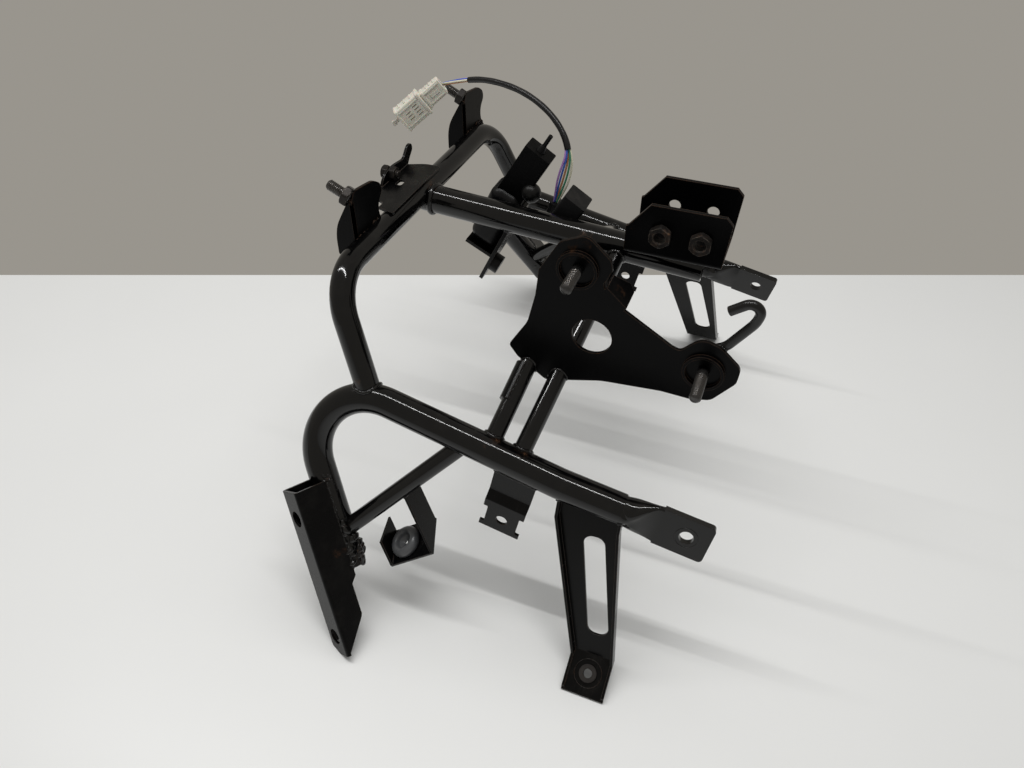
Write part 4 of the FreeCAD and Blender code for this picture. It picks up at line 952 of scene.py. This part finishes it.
bm = bmesh.new()
shell(bm, plug_place, SHELL_ROWS, 1.8)
for y in (-7.6, 6.6):
    bar(bm, plug_place, (23.5, 43.0), (y, y + 1.0), (6.4, 7.0))
# Slots: thin dark strips on the shell, painted shade and grime in place of the openings.
for x, y in SLOTS:
    bar(bm, plug_place, (x, x + 4.6), (y, y + 0.8), (6.3, 6.56), SLOT_GRIME_AND_SHADE_INDEX)
for x in (27.0, 33.0, 39.0):
    bar(bm, plug_place, (x, x + 1.4), (-11.0, -10.3), (-4.0, 4.0))
front_shell = new_piece("connector_shell", bm, nylon)
front_shell.data.materials.append(slot_grime_and_shade)
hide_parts("connector_front")

bm = bmesh.new()
shell(bm, plug_place @ Matrix.Translation(HOOK_ASIDE), HOOK_ROWS, 0.6)
hook_arm = new_piece("connector_hook", bm, nylon)
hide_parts("connector_latch")
for piece in (tail, front_shell, hook_arm):
    sharpen(piece, 40)


# Lead: five wires, bound together in a sleeve for most of their way

LEAD_POINTS = [
    at(-26.0, 104.0, 247.0),
    at(-27.3, 110.0, 268.0),
    at(-31.0, 112.5, 290.0),
    at(-41.5, 97.0, 308.0),
    at(-55.0, 69.5, 318.0),
    at(-68.0, 38.0, 319.0),
    at(-76.5, 9.5, 314.5),
    at(-80.0, -17.0, 305.0),
]
LEAD_DIAMETER = 5.0 * MM
LEAD_SPACING = 1.0 * MM
SLEEVE_FROM = 0.23
SLEEVE_TO = 0.86
SLEEVE_SKIN = 0.12 * MM
SLEEVE_WAVE = 0.05 * MM
WRAP_STEPS = 14
SLEEVE_OVERLAP = 3
WIRE_RADIUS = 0.80 * MM
WIRE_SPACING = 0.75
FAN_SHARPNESS = 1.3
SENSOR_SPREAD = 1.42
PLUG_SPREAD = 0.35
PLUG_CROSSING = 0.45
TOWARD_ROOM = Vector((0.62, 0.32, 0.72)).normalized()
SENSOR_FAN = [(-2.0, 0.2), (-1.1, 0.9), (-0.1, -0.4), (0.9, 0.6), (2.0, 0.0)]
PLUG_FAN = [(1.5, 0.0), (0.9, 0.9), (-0.6, -0.9), (0.1, -0.6), (-0.5, 1.0)]


def smooth_line(name, points):
    """Points along the smooth spline that a route controls."""
    curve = bpy.data.curves.new(name, "CURVE")
    curve.dimensions = "3D"
    curve.resolution_u = 24
    spline = curve.splines.new("NURBS")
    spline.points.add(len(points) - 1)
    for point, place in zip(spline.points, points):
        point.co = (*place, 1.0)
    spline.order_u = 3
    spline.use_endpoint_u = True
    holder = bpy.data.objects.new(name, curve)
    bpy.context.scene.collection.objects.link(holder)
    bpy.context.view_layer.update()
    mesh = bpy.data.meshes.new_from_object(holder)
    line = [v.co.copy() for v in mesh.vertices]
    bpy.data.objects.remove(holder)
    bpy.data.meshes.remove(mesh)
    return line


def strand(line, place, near, spread, crossing):
    """One of several wires that lie side by side, fan out midway and cross near their end."""
    points = []
    for step, point in enumerate(line):
        after = line[min(step + 1, len(line) - 1)]
        before = line[max(step - 1, 0)]
        aside = (after - before).cross(TOWARD_ROOM).normalized()
        share = step / (len(line) - 1)
        width = WIRE_SPACING + spread * math.sin(math.pi * share) ** FAN_SHARPNESS
        swap_side = math.cos(math.pi * share * crossing)
        toward = TOWARD_ROOM * near * (0.7 + 0.5 * share) * MM
        points.append(point + aside * place * width * swap_side * MM + toward)
    return points


lead_line = resample(smooth_line("lead_line", LEAD_POINTS), LEAD_SPACING)
lead_length = length_of(lead_line)
last = len(lead_line) - 1
first_cut, second_cut = int(last * SLEEVE_FROM), int(last * SLEEVE_TO)
sleeve = lead_line[first_cut:second_cut]
sleeve_radii = []
for step in range(len(sleeve)):
    wrap = SLEEVE_SKIN if step < WRAP_STEPS else 0.0
    sleeve_radii.append(LEAD_DIAMETER / 2 - SLEEVE_SKIN + wrap + SLEEVE_WAVE * math.sin(step * 0.35))
lead_bm = bmesh.new()
add_tube(lead_bm, sleeve, sleeve_radii, 16)
sensor_end = lead_line[:first_cut + SLEEVE_OVERLAP]
plug_end_line = lead_line[second_cut - SLEEVE_OVERLAP:]
for span, fan, spread, crossing in ((sensor_end, SENSOR_FAN, SENSOR_SPREAD, 0.0),
                                    (plug_end_line, PLUG_FAN, PLUG_SPREAD, PLUG_CROSSING)):
    for index, (place, near) in enumerate(fan):
        wire = strand(span, place, near, spread, crossing)
        add_tube(lead_bm, wire, [WIRE_RADIUS] * len(wire), 8, False, index + 1)
lead = new_piece("lead", lead_bm, sleeve_vinyl)
for finish in wire_finishes:
    lead.data.materials.append(finish)
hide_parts("lead_tube")


# Floor, lamps and room

FLOOR_WHITE = (0.80, 0.80, 0.785)
FLOOR_ROUGHNESS = 0.35
FLOOR_PATCHES = 6.0
FLOOR_GRAIN = 360.0
FLOOR_FAR = 0.818
FLOOR_NEAR = 1.5
FLOOR_HALF = 3

floor_finish = Finish("floor_white")
patches = floor_finish.noise(FLOOR_PATCHES, 4) * 0.5
floor_finish.set(Base_Color=floor_finish.mix(patches, FLOOR_WHITE, tuple(c * 0.93 for c in FLOOR_WHITE)),
                 Roughness=FLOOR_ROUGHNESS)
floor_finish.bump(floor_finish.noise(FLOOR_GRAIN, 3), SURFACE_DEPTH, 0.3)

view_away = Vector((-math.sin(CAMERA_TURN), math.cos(CAMERA_TURN), 0))
view_across = Vector((math.cos(CAMERA_TURN), math.sin(CAMERA_TURN), 0))
floor_middle = Vector((CAMERA_PLACE.x, CAMERA_PLACE.y, 0))
far_edge = floor_middle + view_away * FLOOR_FAR
near_edge = floor_middle - view_away * FLOOR_NEAR
half = view_across * FLOOR_HALF
floor_corners = [near_edge - half, near_edge + half, far_edge + half, far_edge - half]
floor_mesh = bpy.data.meshes.new("floor")
floor_mesh.from_pydata([tuple(corner) for corner in floor_corners], [], [(0, 1, 2, 3)])
floor_mesh.materials.append(floor_finish.material)
floor = bpy.data.objects.new("floor", floor_mesh)
bpy.context.scene.collection.objects.link(floor)


def area_light(name, place, target, width, length, power, mirrored):
    """Rectangular lamp that faces its target, with its length as near to the Y axis as it goes."""
    data = bpy.data.lights.new(name, "AREA")
    data.shape = "RECTANGLE"
    data.size = width
    data.size_y = length
    data.energy = power
    lamp = bpy.data.objects.new(name, data)
    away = (Vector(place) - Vector(target)).normalized()
    along = (Vector((0, 1, 0)) - away * away.y).normalized()
    turn = Matrix((along.cross(away), along, away)).transposed()
    lamp.matrix_world = Matrix.Translation(place) @ turn.to_4x4()
    lamp.visible_glossy = mirrored
    bpy.context.scene.collection.objects.link(lamp)


area_light("strip", (0.14, -0.38, 1.40), (0.14, -0.38, 0), 0.024, 1.7, 9.0, True)
area_light("ceiling", (-0.1, 0.1, 2.0), (-0.1, 0, 0.1), 1.8, 1.8, 19, False)


class Room(Finish):
    """The world's nodes, made in the same way as a material's."""

    def __init__(self, name):
        self.world = bpy.data.worlds.new(name)
        self.world.use_nodes = True
        self.tree = self.world.node_tree

    def ray(self, kind):
        return self.node("ShaderNodeLightPath", {}, (), kind)


ROOM_LIGHT = (0.27, 0.27, 0.265)
WALL_GREY = (0.318, 0.300, 0.268)
room = Room("room")
seen = room.ray("Is Camera Ray").larger(room.ray("Is Glossy Ray")).larger(room.ray("Is Transmission Ray"))
background = room.tree.nodes["Background"].inputs["Color"]
room.tree.links.new(room.mix(seen, ROOM_LIGHT, WALL_GREY).socket, background)
bpy.context.scene.world = room.world
